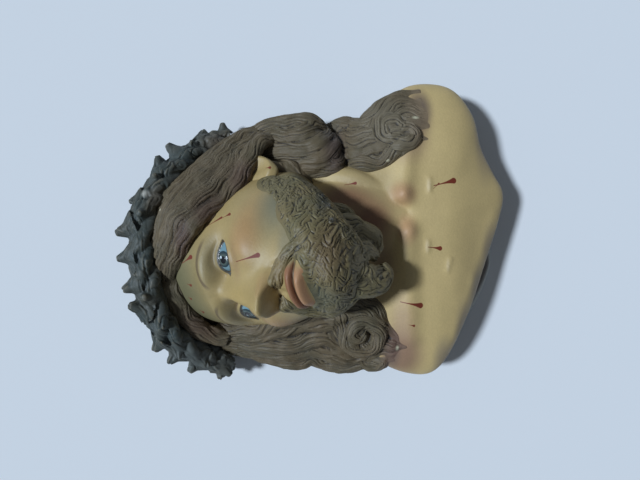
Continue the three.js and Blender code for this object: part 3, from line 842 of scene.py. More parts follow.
shoulder_locks = [
    (4.4, 4.8, [(40.6, -5, 10), (42.2, -11.8, 12), (41.4, -16.9, 13.5), (40.8, -21.4, 15),
        (44.8, -25.6, 16), (49.6, -30.6, 16.5), (53, -36, 17), (54.2, -43, 16)]),
    (4.4, 5.0, [(37.3, -7.5, 13), (35.6, -13.9, 16), (35, -18.3, 18), (36.8, -23.4, 19), (41, -27, 19.6),
        (46, -30.8, 19.8), (49.8, -35.8, 19.6), (50.4, -42.8, 18.6)]),
    (4.0, 5.0, [(33.1, -9, 14), (32.2, -15.6, 17.5), (32, -19.8, 19.6), (34, -24.4, 20.6),
        (38.1, -28, 21.4), (42.6, -32, 21.6), (45.4, -37, 21.4), (45, -43.6, 20.8)]),
    (3.6, 4.8, [(29.4, -10, 14.5), (28.6, -16.7, 18), (28.9, -21.4, 20.4), (30.6, -26, 21.6),
        (34, -30, 22.4), (37.4, -34, 22.8), (40, -39, 22.6), (39.6, -44.6, 22)]),
    (3.2, 4.4, [(26.4, -11.5, 15), (25.8, -18.3, 18.6), (26, -23.7, 21), (27.4, -28.2, 22.2),
        (30, -32.2, 22.8), (33, -36.6, 23.4), (35, -40.6, 23.4), (34.6, -44.8, 23)]),
    (2.2, 2.4, [(34.4, -31.8, 25), (36.2, -28.4, 25.4), (40.4, -28.8, 25.2), (41.6, -32.8, 25),
        (38.7, -34.8, 25.4), (37.3, -32.4, 26)]),
    (2.1, 2.4, [(31.6, -33.8, 25), (32.7, -37.4, 25.4), (35.6, -39.8, 25.4), (38.8, -38, 25.4),
        (37.8, -35, 25.8)]),
]
left_locks = [
    (4.6, 5.0, [(-48.8, 36, 8), (-49, 26.9, 9.5), (-50, 19.5, 10.5), (-52, 11.7, 11.5), (-52.4, 5.6, 12),
        (-50.6, 0.6, 12), (-52.8, -5.2, 11), (-54.2, -10.3, 11.5), (-54, -16.3, 13), (-52.8, -22.4, 15),
        (-52, -28, 16.5), (-50.4, -33, 17.5)]),
    (4.4, 5.4, [(-46, 36.6, 12), (-46.5, 26.3, 13.5), (-46.6, 19, 15), (-47.6, 12.4, 16), (-48.2, 7.4, 16),
        (-46.4, 0.9, 16), (-47.4, -5.1, 16), (-49.8, -11.1, 16), (-50.4, -17, 17), (-48.8, -23.4, 18),
        (-47, -28.4, 19.5), (-46.8, -34, 20)]),
    (4.2, 5.4, [(-43, 36.8, 15), (-43.8, 26.4, 16.5), (-43.7, 18.7, 18.5), (-44.3, 12.2, 19.5),
        (-43.8, 5.8, 19.5), (-41.7, 0.3, 19.5), (-40.8, -5.1, 20.5), (-43.2, -9.7, 20.5),
        (-46.4, -14.6, 20.5), (-47.6, -20.4, 20.5)]),
    (4.2, 5.4, [(-40.4, 37.4, 17), (-41.2, 25.6, 18.5), (-39, 15.9, 21.5), (-36.8, 9.5, 22.5),
        (-35, 3.7, 23), (-35, -3.1, 23.5), (-36.6, -8.2, 23.5), (-41, -11.4, 23.5), (-45.4, -15.4, 22.5)]),
    (4.0, 5.2, [(-38.6, 37.7, 18), (-39.6, 25.9, 20), (-35.6, 15.7, 23.5), (-32.6, 8.4, 25.5),
        (-30.6, 0.7, 26.5), (-28.2, -5.9, 27.5), (-26.6, -13, 27.5), (-27.6, -19.6, 26.5),
        (-31.2, -25.2, 25.5), (-36.6, -29.2, 24.6), (-42, -34, 24)]),
    (3.6, 4.6, [(-34, 0, 24), (-33.4, -7.9, 25), (-31.2, -13.6, 25.5), (-30.9, -19.3, 25.5),
        (-34, -24.4, 25.2), (-38.6, -28.9, 24.4), (-43, -34, 23.6)]),
    (2.8, 3.4, [(-33.6, -11.4, 26), (-42.3, -12.8, 25), (-46.6, -17.8, 24), (-45, -24.3, 24),
        (-39.4, -26.2, 25), (-35.2, -21.4, 26), (-36.6, -16.7, 26.6), (-40.2, -15.7, 26.6),
        (-42.3, -18.6, 26.6), (-40, -20.6, 27)]),
    (3.4, 3.0, [(-38.6, -17.6, 24), (-41.2, -19.2, 24.4), (-41.6, -22.6, 24)]),
    (2.6, 3.2, [(-42.6, -21.5, 23), (-44.3, -29.3, 23), (-45.1, -36.9, 23.4)]),
    (2.4, 3.0, [(-50.6, -19.5, 15), (-54.2, -22.6, 14.6), (-54.4, -26.6, 15), (-51.6, -28.6, 16.4),
        (-50.6, -26, 17)]),
]


def hair_outward(places):
    """Hair stands off the flat back, and leans away from the head at the sides."""
    lean = np.zeros_like(places)
    lean[:, 0] = places[:, 0] - head_middle[0]
    lean[:, 2] = 38
    return unit(lean)


def new_shape_tree(name, **inputs):
    """An empty tree that shapes a piece, with the names of its inputs listed by kind."""
    sockets = {"Geometry": "shape"}
    for kind, labels in inputs.items():
        sockets.update(dict.fromkeys(labels, kind))
    sockets["Material"] = "material"
    return new_tree("GeometryNodeTree", name, sockets, {"Geometry": "shape"})


def stored(tree, name, kind="FLOAT"):
    return add_node(tree, "GeometryNodeInputNamedAttribute", {"Name": name}, data_type=kind)["Attribute"]


def finish_tree(tree, shape, material, end):
    """Ends a tree with real geometry in its material."""
    real = add_node(tree, "GeometryNodeRealizeInstances", {"Geometry": shape})[0]
    done = add_node(tree, "GeometryNodeSetMaterial", {"Geometry": real, "Material": material})[0]
    tree.links.new(done, end["Geometry"])
    return tree


def grown(name, tree, mesh, **inputs):
    """Runs a node tree over a mesh and gives back the points and triangles that it makes."""
    thing = put(name, mesh)
    modifier = thing.modifiers.new(name, "NODES")
    modifier.node_group = tree
    for item in tree.interface.items_tree:
        label = item.name.replace(" ", "_")
        if item.in_out == "INPUT" and label in inputs:
            modifier[item.identifier] = inputs[label]
    return arrays_of(evaluated(thing))


def scalp_height(bare):
    """How far the hair on the scalp stands off the head: under the skin in front of the hairline."""
    across = np.abs(bare[..., 0])
    line = 27 - 0.55 * np.maximum(0, across - 14) - 1.9 * np.maximum(0, 12 - bare[..., 2])
    return ease(line - 2, line + 2, bare[..., 1]) * 5.0 - 1


def worn(points, faces, rounds):
    """How deep each point lies in a groove, below 0 on a ridge, as a share of the deeper grooves' depth."""
    depth = hollows(points, faces, rounds)
    return depth / np.percentile(np.abs(depth), 95)


def strand_streaks(tree, fineness):
    """Fine lines along the locks, from -1 to 1."""
    stretched = calc3(tree, "MULTIPLY", value_of(tree, "comb", "Vector"), fineness)
    return noise_at(tree, stretched, 1.0, 3.0, 0.6)


hair_shades = [
    ((0.085, 0.04, 0.03), (7, 36, 40), (8, 7, 40), 0.7),
    ((0.085, 0.04, 0.03), (-4, 45, 40), (10, 3.5, 40), 0.7),
    ((0.085, 0.04, 0.03), (19, 26, 30), (8, 6, 40), 0.7),
    ((0.085, 0.04, 0.03), (-36, 42, 20), (8, 10, 40), 0.5),
    ((0.19, 0.155, 0.1), (40, -30, 22), (14, 14, 40), 0.7),
    ((0.22, 0.155, 0.095), (44, -44, 22), (20, 8, 40), 0.8),
    ((0.17, 0.09, 0.065), (-46, -33, 18), (14, 6, 40), 0.8),
    ((0.09, 0.05, 0.045), (30, -9, 20), (12, 5, 40), 0.6),
]
flesh_on_ends = [
    ((0.34, 0.235, 0.135), (43, -49, 22), (24, 7, 40), 0.8),
    ((0.24, 0.15, 0.1), (-46, -37, 18), (16, 4.5, 40), 0.7),
    ((0.19, 0.14, 0.085), (20, 37, 34), (15, 13, 40), 0.4),
]
pale_flecks = [
    ((0.62, 0.56, 0.38), (26.3, -29.0, 24), (0.7, 1.1, 9), 0.9),
    ((0.62, 0.56, 0.38), (43.2, -39.8, 24), (0.8, 1.6, 9), 0.9),
    ((0.62, 0.56, 0.38), (-45.8, -33, 23), (1.3, 0.8, 9), 0.9),
    ((0.62, 0.56, 0.38), (7.1, 54.6, 40), (0.6, 0.5, 9), 0.9),
]


def hair_paint():
    """Dusty brown, washed dark in grooves, rubbed lighter on ridges, reddish at the forehead, painted shade
    in deep hollows.
    """
    material, tree, shader = new_material("hair paint", 0.62)
    place = in_millimetres(tree)
    clouds = calc(tree, "MULTIPLY_ADD", use_group(tree, grain, Place=place)["Clouds"], 0.9, 0.5)
    paint = painted(tree, (0.096, 0.08, 0.044), (0.15, 0.102, 0.052), clouds)
    paint = airbrush(tree, place, paint, hair_shades)
    streak = strand_streaks(tree, (2.6, 0.22, 1.0))
    groove = calc(tree, "MULTIPLY_ADD", streak, 0.9, value_of(tree, "groove"))
    paint = painted(tree, paint, (0.3, 0.23, 0.145), fade(tree, groove, -1.5, -0.2), 0.5)
    paint = painted(tree, paint, (0.028, 0.022, 0.018), fade(tree, groove, 1.15, 0.0), 0.9)
    # Near black in the deep hollows between the locks: the dark wash, laid thick as painted shade too.
    paint = painted(tree, paint, (0.025, 0.02, 0.018), fade(tree, value_of(tree, "hollow"), 1.6, 0.3), 0.85)
    paint = airbrush(tree, place, paint, flesh_on_ends + pale_flecks)
    relief = add_node(tree, "ShaderNodeBump", {"Height": streak, "Distance": 0.00025, "Strength": 0.6})[0]
    link_up(tree, shader, Base_Color=paint, Normal=relief)
    return material


hair_colours = hair_paint()


def combed(points, guides):
    """Each point's place on the nearest lock: millimetres round it, millimetres along it, and its number."""
    lines = np.vstack([g[0] for g in guides])
    outs = np.vstack([g[1] for g in guides])
    widths = np.concatenate([g[2] for g in guides])
    alongs = unit(np.vstack([np.gradient(g[0], axis=0) for g in guides]))
    acrosses = unit(np.cross(alongs, outs))
    runs = [np.cumsum(np.linalg.norm(np.diff(g[0], axis=0, prepend=g[0][:1]), axis=1)) for g in guides]
    numbers = np.repeat(np.arange(len(guides)), [len(g[0]) for g in guides])
    nearest = []
    for some in np.array_split(points, max(1, len(points) // 20000)):
        nearest.append(np.argmin((lines**2).sum(axis=1) - 2 * some @ lines.T, axis=1))
    at = np.concatenate(nearest)
    away = points - lines[at]
    side = np.einsum("ij,ij->i", away, acrosses[at])
    over = np.einsum("ij,ij->i", away, outs[at])
    round_it = np.arctan2(side, np.maximum(over, 0) + 0.6 * widths[at] + 1) * (widths[at] + 2)
    along = np.concatenate(runs)[at] + np.einsum("ij,ij->i", away, alongs[at])
    return np.stack([round_it, along, 7.0 * numbers[at]], -1)


def grooves_tree():
    """Carves wavy lines into a skin along its locks, in two sizes, and bellies it gently between them."""
    numbers = ["Pitch", "Length", "Depth", "Sway", "Sway Length", "Swell"]
    tree, given, end = new_shape_tree("combed grooves", number=numbers, count=["Seed"])
    part = add_node(tree, "ShaderNodeSeparateXYZ", {0: stored(tree, "comb", "FLOAT_VECTOR")})
    along = calc(tree, "DIVIDE", part[1], given["Sway Length"])
    beat = noise_at(tree, place_of(tree, calc(tree, "DIVIDE", part[0], 30.0), along, part[2]))
    across = calc(tree, "ADD", part[0], times(tree, beat, given["Sway"]))
    lane = calc(tree, "MULTIPLY_ADD", given["Seed"], 11.3, part[2])
    cuts = []
    for share, depth in ((1.0, 1.0), (0.5, 0.45)):
        x = calc(tree, "DIVIDE", across, times(tree, given["Pitch"], share))
        y = calc(tree, "DIVIDE", part[1], times(tree, given["Length"], share))
        line = near(tree, noise_at(tree, place_of(tree, x, y, lane), 0.5), 0.0, 0.17)
        cuts.append(times(tree, line, depth))
    deep = times(tree, calc(tree, "ADD", *cuts), given["Depth"], stored(tree, "thick"))
    here = add_node(tree, "GeometryNodeInputPosition")[0]
    belly = times(tree, noise_at(tree, here, 0.16, 1.0), given["Swell"])
    normal = add_node(tree, "GeometryNodeInputNormal")[0]
    move = scaled(tree, normal, calc(tree, "SUBTRACT", belly, deep))
    shape = add_node(tree, "GeometryNodeSetPosition", {"Geometry": given["Geometry"], "Offset": move})[0]
    return finish_tree(tree, shape, given["Material"], end)


comb_grooves = grooves_tree()


def carved_along(guides, material, over=None, **sizes):
    """A carving step for fused: grooves along the guides, which fade where little stands over a surface."""

    def carve(points, faces):
        mesh = mesh_of("uncarved", points, faces)
        add_values(mesh, "comb", combed(points, guides))
        stands = np.full(len(points), 9.0)
        if over:
            stands = np.array([over.find_nearest(place)[3] for place in points.tolist()])
        add_values(mesh, "thick", ease(0.1, 1.1, stands))
        return grown("combing", comb_grooves, mesh, Material=material, **sizes)

    return carve


shoulder_top = -12
hair_underside = 0.4
body_surface = BVHTree.FromPolygons(body_points.tolist(), body_faces.tolist())


def ground_at(x, y):
    """The height of the shoulder under a place, or None beside it."""
    hit = body_surface.ray_cast(Vector((x, y, head_height)), Vector((0, 0, -1)))[0]
    return None if hit is None else hit.z


def draped(path, sunk, lies_down):
    """Keeps a path from sinking too far into the shoulder. A lock that lies down runs out flush with it."""
    places = []
    for step, (x, y, z) in enumerate(path):
        ground = ground_at(x, y)
        if ground is not None and y < shoulder_top:
            above = max(z - ground, -sunk)
            settling = ease(0.55, 1, step / (len(path) - 1)) if lies_down else 0
            z = ground + above * (1 - settling) - sunk * settling
        places.append((x, y, z))
    return places


def run_out(middle, reach, rise):
    """The low swelling in which the locks run out on the shoulder: an oval that fades at its rim."""
    steps = 24
    outwards = [(i / steps, 0) for i in range(1, steps + 1)]
    inwards = [(i / steps, 4) for i in range(steps - 1, 0, -1)]
    rings = []
    for part, below in outwards + inwards:
        ring = []
        for angle in np.linspace(0, 2 * pi, 90, endpoint=False):
            x = middle[0] + reach[0] * part * np.cos(angle)
            y = middle[1] + reach[1] * part * np.sin(angle)
            ground = ground_at(x, y)
            height = rise * (ease(1, 0.2, part) - 0.35) - below
            ring.append((x, y, (3 if ground is None else ground) + height))
        rings.append(ring)
    return capped(np.array(rings))


def hair_piece(name, locks, others, seed, tip=0.35):
    """Fuses locks with the other solids, combs grooves along them and sets the piece down."""
    guides = []
    solids = list(others)
    for width, thickness, path in locks:
        lies_down = thickness > 4 and path[-1][1] < -25
        path = draped(path, 0.33 * thickness, lies_down)
        guides.append(guide(path, width, thickness, hair_outward))
        solids.append(sweep(path, 1.2 * width, thickness, hair_outward, tip))
    carve = carved_along(guides, hair_colours, body_surface, Seed=seed, **hair_grooves)
    points, faces = fused(
        name, solids, voxel=0.3, triangles=135000, soften=4, lowest=hair_underside, carve=carve
    )
    # fine grooves for the dark wash, and deep hollows for the wash and the painted shade between the locks
    wash_and_shade = {"groove": worn(points, faces, 6), "hollow": worn(points, faces, 90)}
    set_down(name, points, faces, hair_colours, comb=combed(points, guides), **wash_and_shade)


hair_grooves = {"Pitch": 0.85, "Length": 16.0, "Depth": 0.5, "Sway": 2.4, "Sway_Length": 7.5, "Swell": 0.6}
cap_points, cap_faces = head_skin(rows=160, columns=200, height=scalp_height)
scalp = [pillow(hair_outline, (-6, 8), 9, 10, 0.9), (on_bust(cap_points), cap_faces)]
hair_piece("hair", temple_locks, scalp, seed=4, tip=0.85)
hair_piece("right_locks", right_locks + shoulder_locks, [run_out((44.5, -38.5), (11, 9), 1.3)], seed=11)
hair_piece("left_locks", left_locks, [run_out((-46.5, -31), (6.5, 5), 1.1)], seed=23)


# The beard: short wavy tufts from ear to ear under a thin moustache, ending in two curls side by side. It is
# cast in one with the jaw, incised with a point and washed dark, and a few bubbles of lacquer stand on it.
beard_depth = 3.2
tuft_rows = 9
tufts_in_row = 19
lowest_tuft = -41.5


def beard_edge(across):
    """The height of the beard's upper edge on the face."""
    return -29.3 + 3.6 * ease(6, 12, across) + 8 * ease(12, 24, across) + 14 * ease(23.5, 29.5, across)


def beard_rise(side):
    """How far the beard stands off the face: full on the chin and thin before the ears."""
    return beard_depth - 1.6 * ease(13, 25, np.abs(side))


def beard_height(bare):
    """How far the mass of the beard stands off each place on the head: under the skin where there is none."""
    across = np.abs(bare[..., 0])
    upper = beard_edge(across)
    cover = ease(upper + 1, upper - 7 + 3 * ease(12, 24, across), bare[..., 1]) * ease(-3, 3, bare[..., 2])
    return cover * (1 + beard_rise(bare[..., 0])) - 1


def tuft(places, width, thickness, tip=0.35, root=0.5):
    """A tuft that lies on the face along places given as sideways and up on it, and height off it."""
    side, up, height = smooth_path(places, 24).T
    level = np.clip(up / (head_height / 2), -0.99, 0.99)
    share = np.clip(side / head_half_width(level), -0.999, 0.999)
    turn = np.arcsin(np.sign(share) * np.abs(share) ** (1 / face_squareness))
    line = on_bust(head_point(turn, level, height))
    outward = unit(on_bust(head_point(turn, level, height + 1)) - line)
    size = tapered(np.linspace(0, 1, len(line)), root, tip, 0.25, 0.55)
    return line, outward, width * size, thickness * size


def beard_guides():
    """Rows of curved tufts down the cheeks and chin."""
    chance = np.random.default_rng(7)
    middle = (tufts_in_row - 1) / 2
    guides = []
    for row in range(tuft_rows):
        for column in range(tufts_in_row):
            share = (column - middle + 0.5 * (row % 2) + chance.uniform(-0.2, 0.2)) / (middle + 0.5)
            across = 28.5 * np.sin(pi / 2 * share)
            rise = beard_rise(across)
            start = beard_edge(abs(across)) - 0.9 - 3.1 * row + chance.uniform(-0.6, 0.6)
            length = min(9.5 * chance.uniform(0.75, 1.2), start - lowest_tuft)
            if length < 4:
                continue
            bend = chance.uniform(0.9, 1.8) * (1 if (row + column) % 2 else -1)
            sunk = (2.6 if row < 2 else 0.4) * ease(13, 20, abs(across))
            lift = rise * min(1, row / 3.5) - sunk - 0.1
            path = []
            for i in range(5):
                sway = bend if i % 2 else -bend
                height = lift + 0.07 * rise * i - 0.8 * (i == 0)
                path.append((across * (1 - 0.045 * i) + sway, start - length * i / 4, height))
            guides.append(tuft(path, 2.0, 0.6))
    return guides


moustache_line = [
    (1.2, -20.6, 0.2), (4.6, -21.4, 0.6), (8.6, -23.6, 0.8), (12.2, -27.4, 1.0), (14.4, -32.0, 1.4),
]


def moustache_guides():
    """From under the nose out over the lip and down past the corners of the mouth, two strands a side."""
    guides = []
    for side in (-1, 1):
        for rise in (0, 1.7):
            path = [(side * (x + 0.35 * rise), y + 0.8 * rise, height) for x, y, height in moustache_line]
            guides.append(tuft(path, 1.7, 1.1, 0.5, 0.3))
    return guides


def curl_outward(places):
    return unit(places + np.array([12, 5, -30]))


beard_curls = [
    (3.6, 3.8, [(-4.6, -3, 49), (-1.8, -11, 47), (-0.8, -16.6, 44), (-2.6, -21.2, 41.4),
        (-6.6, -22.6, 40.4), (-8.6, -20, 41)]),
    (3.4, 3.6, [(-9.6, -6, 53), (-8.2, -14, 50), (-7.6, -18.6, 46.4), (-9.6, -22.8, 43)]),
    (3.8, 4.0, [(-17, -5, 54), (-19, -13, 52), (-19.6, -19, 48.6), (-18.8, -23.6, 45), (-15.6, -25.8, 43.2),
        (-12.6, -24.2, 43.2)]),
    (3.4, 3.6, [(-13.6, -6, 54.6), (-14.6, -14, 52.4), (-15.4, -19.6, 48.4), (-14.8, -23.6, 45)]),
    (3.0, 3.4, [(5, -1, 43), (6, -7, 42), (5.2, -12, 40.6), (2.6, -15.4, 40)]),
    (3.0, 3.4, [(0, -3, 48), (1.8, -9.6, 46.6), (2, -14.4, 44), (-0.4, -18.6, 41.4)]),
]
beard_core = [(-7, 4, 44), (-9, -8, 43.6), (-9.6, -17.5, 42)]
lacquer_bubbles = [((2.4, -7.0), 0.9), ((7.6, -6.4), 1.0), ((11.4, -4.4), 0.8), ((-16.6, -23.6), 0.6)]
beard_shades = [
    ((0.3, 0.2, 0.085), (-17, 10, 60), (10, 4.5, 40), 0.6),
    ((0.2, 0.17, 0.09), (14, 12, 50), (9, 7, 40), 0.35),
    ((0.15, 0.09, 0.045), (-8, -6, 55), (10, 7, 40), 0.45),
    ((0.085, 0.1, 0.075), (-23, -2, 55), (6, 12, 40), 0.5),
    ((0.03, 0.035, 0.035), (9, -4, 44), (6, 3, 40), 0.5),
    # painted light: the end curls, which face away from the lamp, made paler
    ((0.3, 0.24, 0.13), (-8, -20, 44), (16, 8, 40), 0.5),
]


def beard_paint():
    """Grey-brown, washed almost black in the grooves, with glossy bubbles and painted light on the end curls.
    """
    material, tree, shader = new_material("beard paint", 0.55)
    place = in_millimetres(tree)
    clouds = calc(tree, "MULTIPLY_ADD", use_group(tree, grain, Place=place)["Clouds"], 0.9, 0.5)
    paint = painted(tree, (0.155, 0.132, 0.06), (0.205, 0.145, 0.06), clouds)
    streak = strand_streaks(tree, (2.6, 0.4, 1.0))
    groove = calc(tree, "MULTIPLY_ADD", streak, 0.9, value_of(tree, "groove"))
    paint = painted(tree, paint, (0.32, 0.27, 0.15), fade(tree, groove, -1.6, -0.3), 0.5)
    paint = painted(tree, paint, (0.018, 0.015, 0.012), fade(tree, groove, 0.85, -0.15), 0.95)
    paint = airbrush(tree, place, paint, beard_shades)
    bubbles = value_of(tree, "gloss")
    paint = painted(tree, paint, (0.03, 0.03, 0.03), bubbles, 0.8)
    link_up(tree, shader, Base_Color=paint, Roughness=calc(tree, "MULTIPLY_ADD", bubbles, -0.48, 0.55))
    return material


def guides_mesh(name, guides):
    """Guide lines as one mesh of edges, with their outward directions, half widths and depths."""
    lines, outwards, half_widths, depths = zip(*guides)
    edges = []
    start = 0
    for line in lines:
        edges.extend((start + i, start + i + 1) for i in range(len(line) - 1))
        start += len(line)
    mesh = bpy.data.meshes.new(name)
    mesh.from_pydata(np.vstack(lines).tolist(), edges, [])
    add_values(mesh, "outward", np.vstack(outwards))
    add_values(mesh, "half_width", np.concatenate(half_widths))
    add_values(mesh, "depth", np.concatenate(depths))
    return mesh


def copied(tree, lines, count):
    """Copies of guide lines, and the number of each copy."""
    curve = add_node(tree, "GeometryNodeMeshToCurve", {"Mesh": lines})["Curve"]
    inputs = {"Geometry": curve, "Amount": count}
    copies = add_node(tree, "GeometryNodeDuplicateElements", inputs, domain="SPLINE")
    return copies["Geometry"], copies["Duplicate Index"]


def chance_between(tree, lowest, highest, number, seed):
    inputs = {"Min": lowest, "Max": highest, "ID": number, "Seed": seed}
    return add_node(tree, "FunctionNodeRandomValue", inputs, data_type="FLOAT")[1]


def bars_along(tree, lines, move, girth, sides):
    """Round bars along lines that are moved aside."""
    placed = add_node(tree, "GeometryNodeSetPosition", {"Geometry": lines, "Offset": move})[0]
    circle = add_node(tree, "GeometryNodeCurvePrimitiveCircle", {"Resolution": sides, "Radius": 1.0})[0]
    inputs = {"Curve": placed, "Profile Curve": circle, "Scale": girth, "Fill Caps": True}
    return add_node(tree, "GeometryNodeCurveToMesh", inputs)[0]


def strands_tree():
    """Lays a bundle of round strands side by side over each guide line."""
    numbers = ["Fan", "Wave", "Wave Length", "Fatness", "Sunk"]
    tree, given, end = new_shape_tree("strands along guides", number=numbers, count=["Strands", "Seed"])
    lines, number = copied(tree, given["Geometry"], given["Strands"])
    lane = calc(tree, "DIVIDE", calc(tree, "MULTIPLY_ADD", number, 2.0, 1.0), given["Strands"])
    turn = times(tree, calc(tree, "SUBTRACT", lane, 1.0), given["Fan"])
    outward = stored(tree, "outward", "FLOAT_VECTOR")
    half_width = stored(tree, "half_width")
    along = add_node(tree, "GeometryNodeInputTangent")[0]
    across = calc3(tree, "NORMALIZE", calc3(tree, "CROSS_PRODUCT", along, outward))
    length = add_node(tree, "GeometryNodeSplineParameter")["Length"]
    where = place_of(tree, calc(tree, "DIVIDE", length, given["Wave Length"]), times(tree, number, 0.45))
    drift = {"Vector": where, "W": times(tree, given["Seed"], 3.7), "Scale": 1.0, "Detail": 1.0}
    wander = add_node(tree, "ShaderNodeTexNoise", drift, noise_dimensions="4D")[0]
    wave = times(tree, calc(tree, "MULTIPLY_ADD", wander, 2.0, -1.0), given["Wave"])
    girth = times(tree, calc(tree, "DIVIDE", half_width, given["Strands"]), given["Fatness"])
    girth = times(tree, girth, chance_between(tree, 0.7, 1.3, number, given["Seed"]))
    sink = times(tree, girth, given["Sunk"])
    wide = calc(tree, "SUBTRACT", half_width, sink)
    high = calc(tree, "SUBTRACT", stored(tree, "depth"), sink)
    sideways = scaled(tree, across, calc(tree, "MULTIPLY_ADD", calc(tree, "SINE", turn), wide, wave))
    outwards = scaled(tree, outward, times(tree, calc(tree, "COSINE", turn), high))
    bars = bars_along(tree, lines, calc3(tree, "ADD", sideways, outwards), girth, 8)
    return finish_tree(tree, bars, given["Material"], end)


def bubbles_on(points):
    """How far each point belongs to a bubble: 1 in its middle, 0 at its rim and beyond."""
    bubble = np.zeros(len(points))
    for (x, y), radius in lacquer_bubbles:
        part = np.hypot(points[:, 0] - x, points[:, 1] - y) / (radius + 0.2)
        bubble = np.maximum(bubble, np.sqrt(np.clip(1 - part**2, 0, 1)))
    return bubble


beard_colours = beard_paint()
head_surface = BVHTree.FromPolygons(head_points.tolist(), head_faces.tolist())
tufts = beard_guides()
moustache = moustache_guides()
curls = [guide(path, width, thickness, curl_outward, 0.6, 0.7, 40) for width, thickness, path in beard_curls]
all_guides = tufts + moustache + curls
bundle = {"Strands": 2, "Fan": 1.0, "Wave": 0.4, "Wave_Length": 3.5, "Fatness": 0.85, "Sunk": 0.6, "Seed": 9}
tuft_lines = guides_mesh("beard guides", tufts)
jaw_points, jaw_faces = head_skin(rows=160, columns=200, height=beard_height)
beard_solids = [
    (on_bust(jaw_points), jaw_faces),
    grown("strands of beard", strands_tree(), tuft_lines, Material=beard_colours, **bundle),
    *(swept(*bar) for bar in moustache),
    sweep(beard_core, 10.5, 5, curl_outward, tip=0.6, root=0.9),
    *(sweep(path, 1.15 * width, thickness, curl_outward, tip=0.6) for width, thickness, path in beard_curls),
]
beard_grooves = {"Pitch": 0.75, "Length": 6.0, "Depth": 0.42, "Sway": 1.0, "Sway_Length": 4.0, "Swell": 0.35}
carve = carved_along(all_guides, beard_colours, head_surface, Seed=3, **beard_grooves)
beard_points, beard_faces = fused(
    "beard", beard_solids, voxel=0.3, triangles=170000, soften=2, lowest=head_underside, carve=carve
)
bubble = bubbles_on(beard_points)
beard_points[:, 2] += 1.1 * bubble
set_down(
    "beard",
    beard_points,
    beard_faces,
    beard_colours,
    groove=worn(beard_points, beard_faces, 6),
    gloss=bubble,
    comb=combed(beard_points, all_guides),
)


# The crown: woody stems twisted together round the brow, with short blunt broad-footed thorns, modelled in
# one with the hair and painted dark green-grey with tan rubbed on the ridges.
crown_line = [
    (-53.5, 36, 8), (-51, 43, 14), (-45, 50, 22), (-37, 55.4, 29), (-28, 58.6, 33), (-18, 60.4, 35.5),
    (-3, 62, 35.5), (9.5, 60.8, 31.5), (19.5, 56.2, 25.5), (28.2, 49.6, 18.5), (34.4, 42, 12),
    (37.6, 36.6, 7),
]
crown_core = (-5.0, 32.0, 21.0)


def crown_frame(tree, core):
    """Directions on the crown's line: along it, out from its core, and across the band towards the viewer."""
    along = add_node(tree, "GeometryNodeInputTangent")[0]
    place = add_node(tree, "GeometryNodeInputPosition")[0]
    out = calc3(tree, "SUBTRACT", place, core)
    lengthwise = scaled(tree, along, calc3(tree, "DOT_PRODUCT", out, along))
    out = calc3(tree, "NORMALIZE", calc3(tree, "SUBTRACT", out, lengthwise))
    return along, out, calc3(tree, "CROSS_PRODUCT", along, out)


def stems_tree():
    """Twists knotty stems together round a line."""
    numbers = ["Turns", "Half Depth", "Half Width", "Stem", "Wander"]
    tree, given, end = new_shape_tree("twisted stems", place=["Core"], count=["Stems"], number=numbers)
    lines, number = copied(tree, given["Geometry"], given["Stems"])
    _, out, up = crown_frame(tree, given["Core"])
    t = add_node(tree, "GeometryNodeSplineParameter")["Factor"]
    own = times(tree, number, 5.3)
    drift = {"Vector": place_of(tree, times(tree, t, 9.0), own), "Scale": 1.0, "Detail": 1.0}
    sway = calc3(tree, "SUBTRACT", add_node(tree, "ShaderNodeTexNoise", drift)[1], (0.5, 0.5, 0.5))
    turn = calc(tree, "MULTIPLY_ADD", t, given["Turns"], calc(tree, "DIVIDE", number, given["Stems"]))
    turn = times(tree, turn, 2 * pi)
    outwards = scaled(tree, out, times(tree, calc(tree, "COSINE", turn), given["Half Depth"]))
    upwards = scaled(tree, up, times(tree, calc(tree, "SINE", turn), given["Half Width"]))
    move = calc3(tree, "ADD", calc3(tree, "ADD", outwards, upwards), scaled(tree, sway, given["Wander"]))
    knots = noise_at(tree, place_of(tree, times(tree, t, 30.0), own), detail=1.0)
    girth = times(tree, given["Stem"], calc(tree, "MULTIPLY_ADD", knots, 0.35, 1.0))
    return finish_tree(tree, bars_along(tree, lines, move, girth, 20), given["Material"], end)


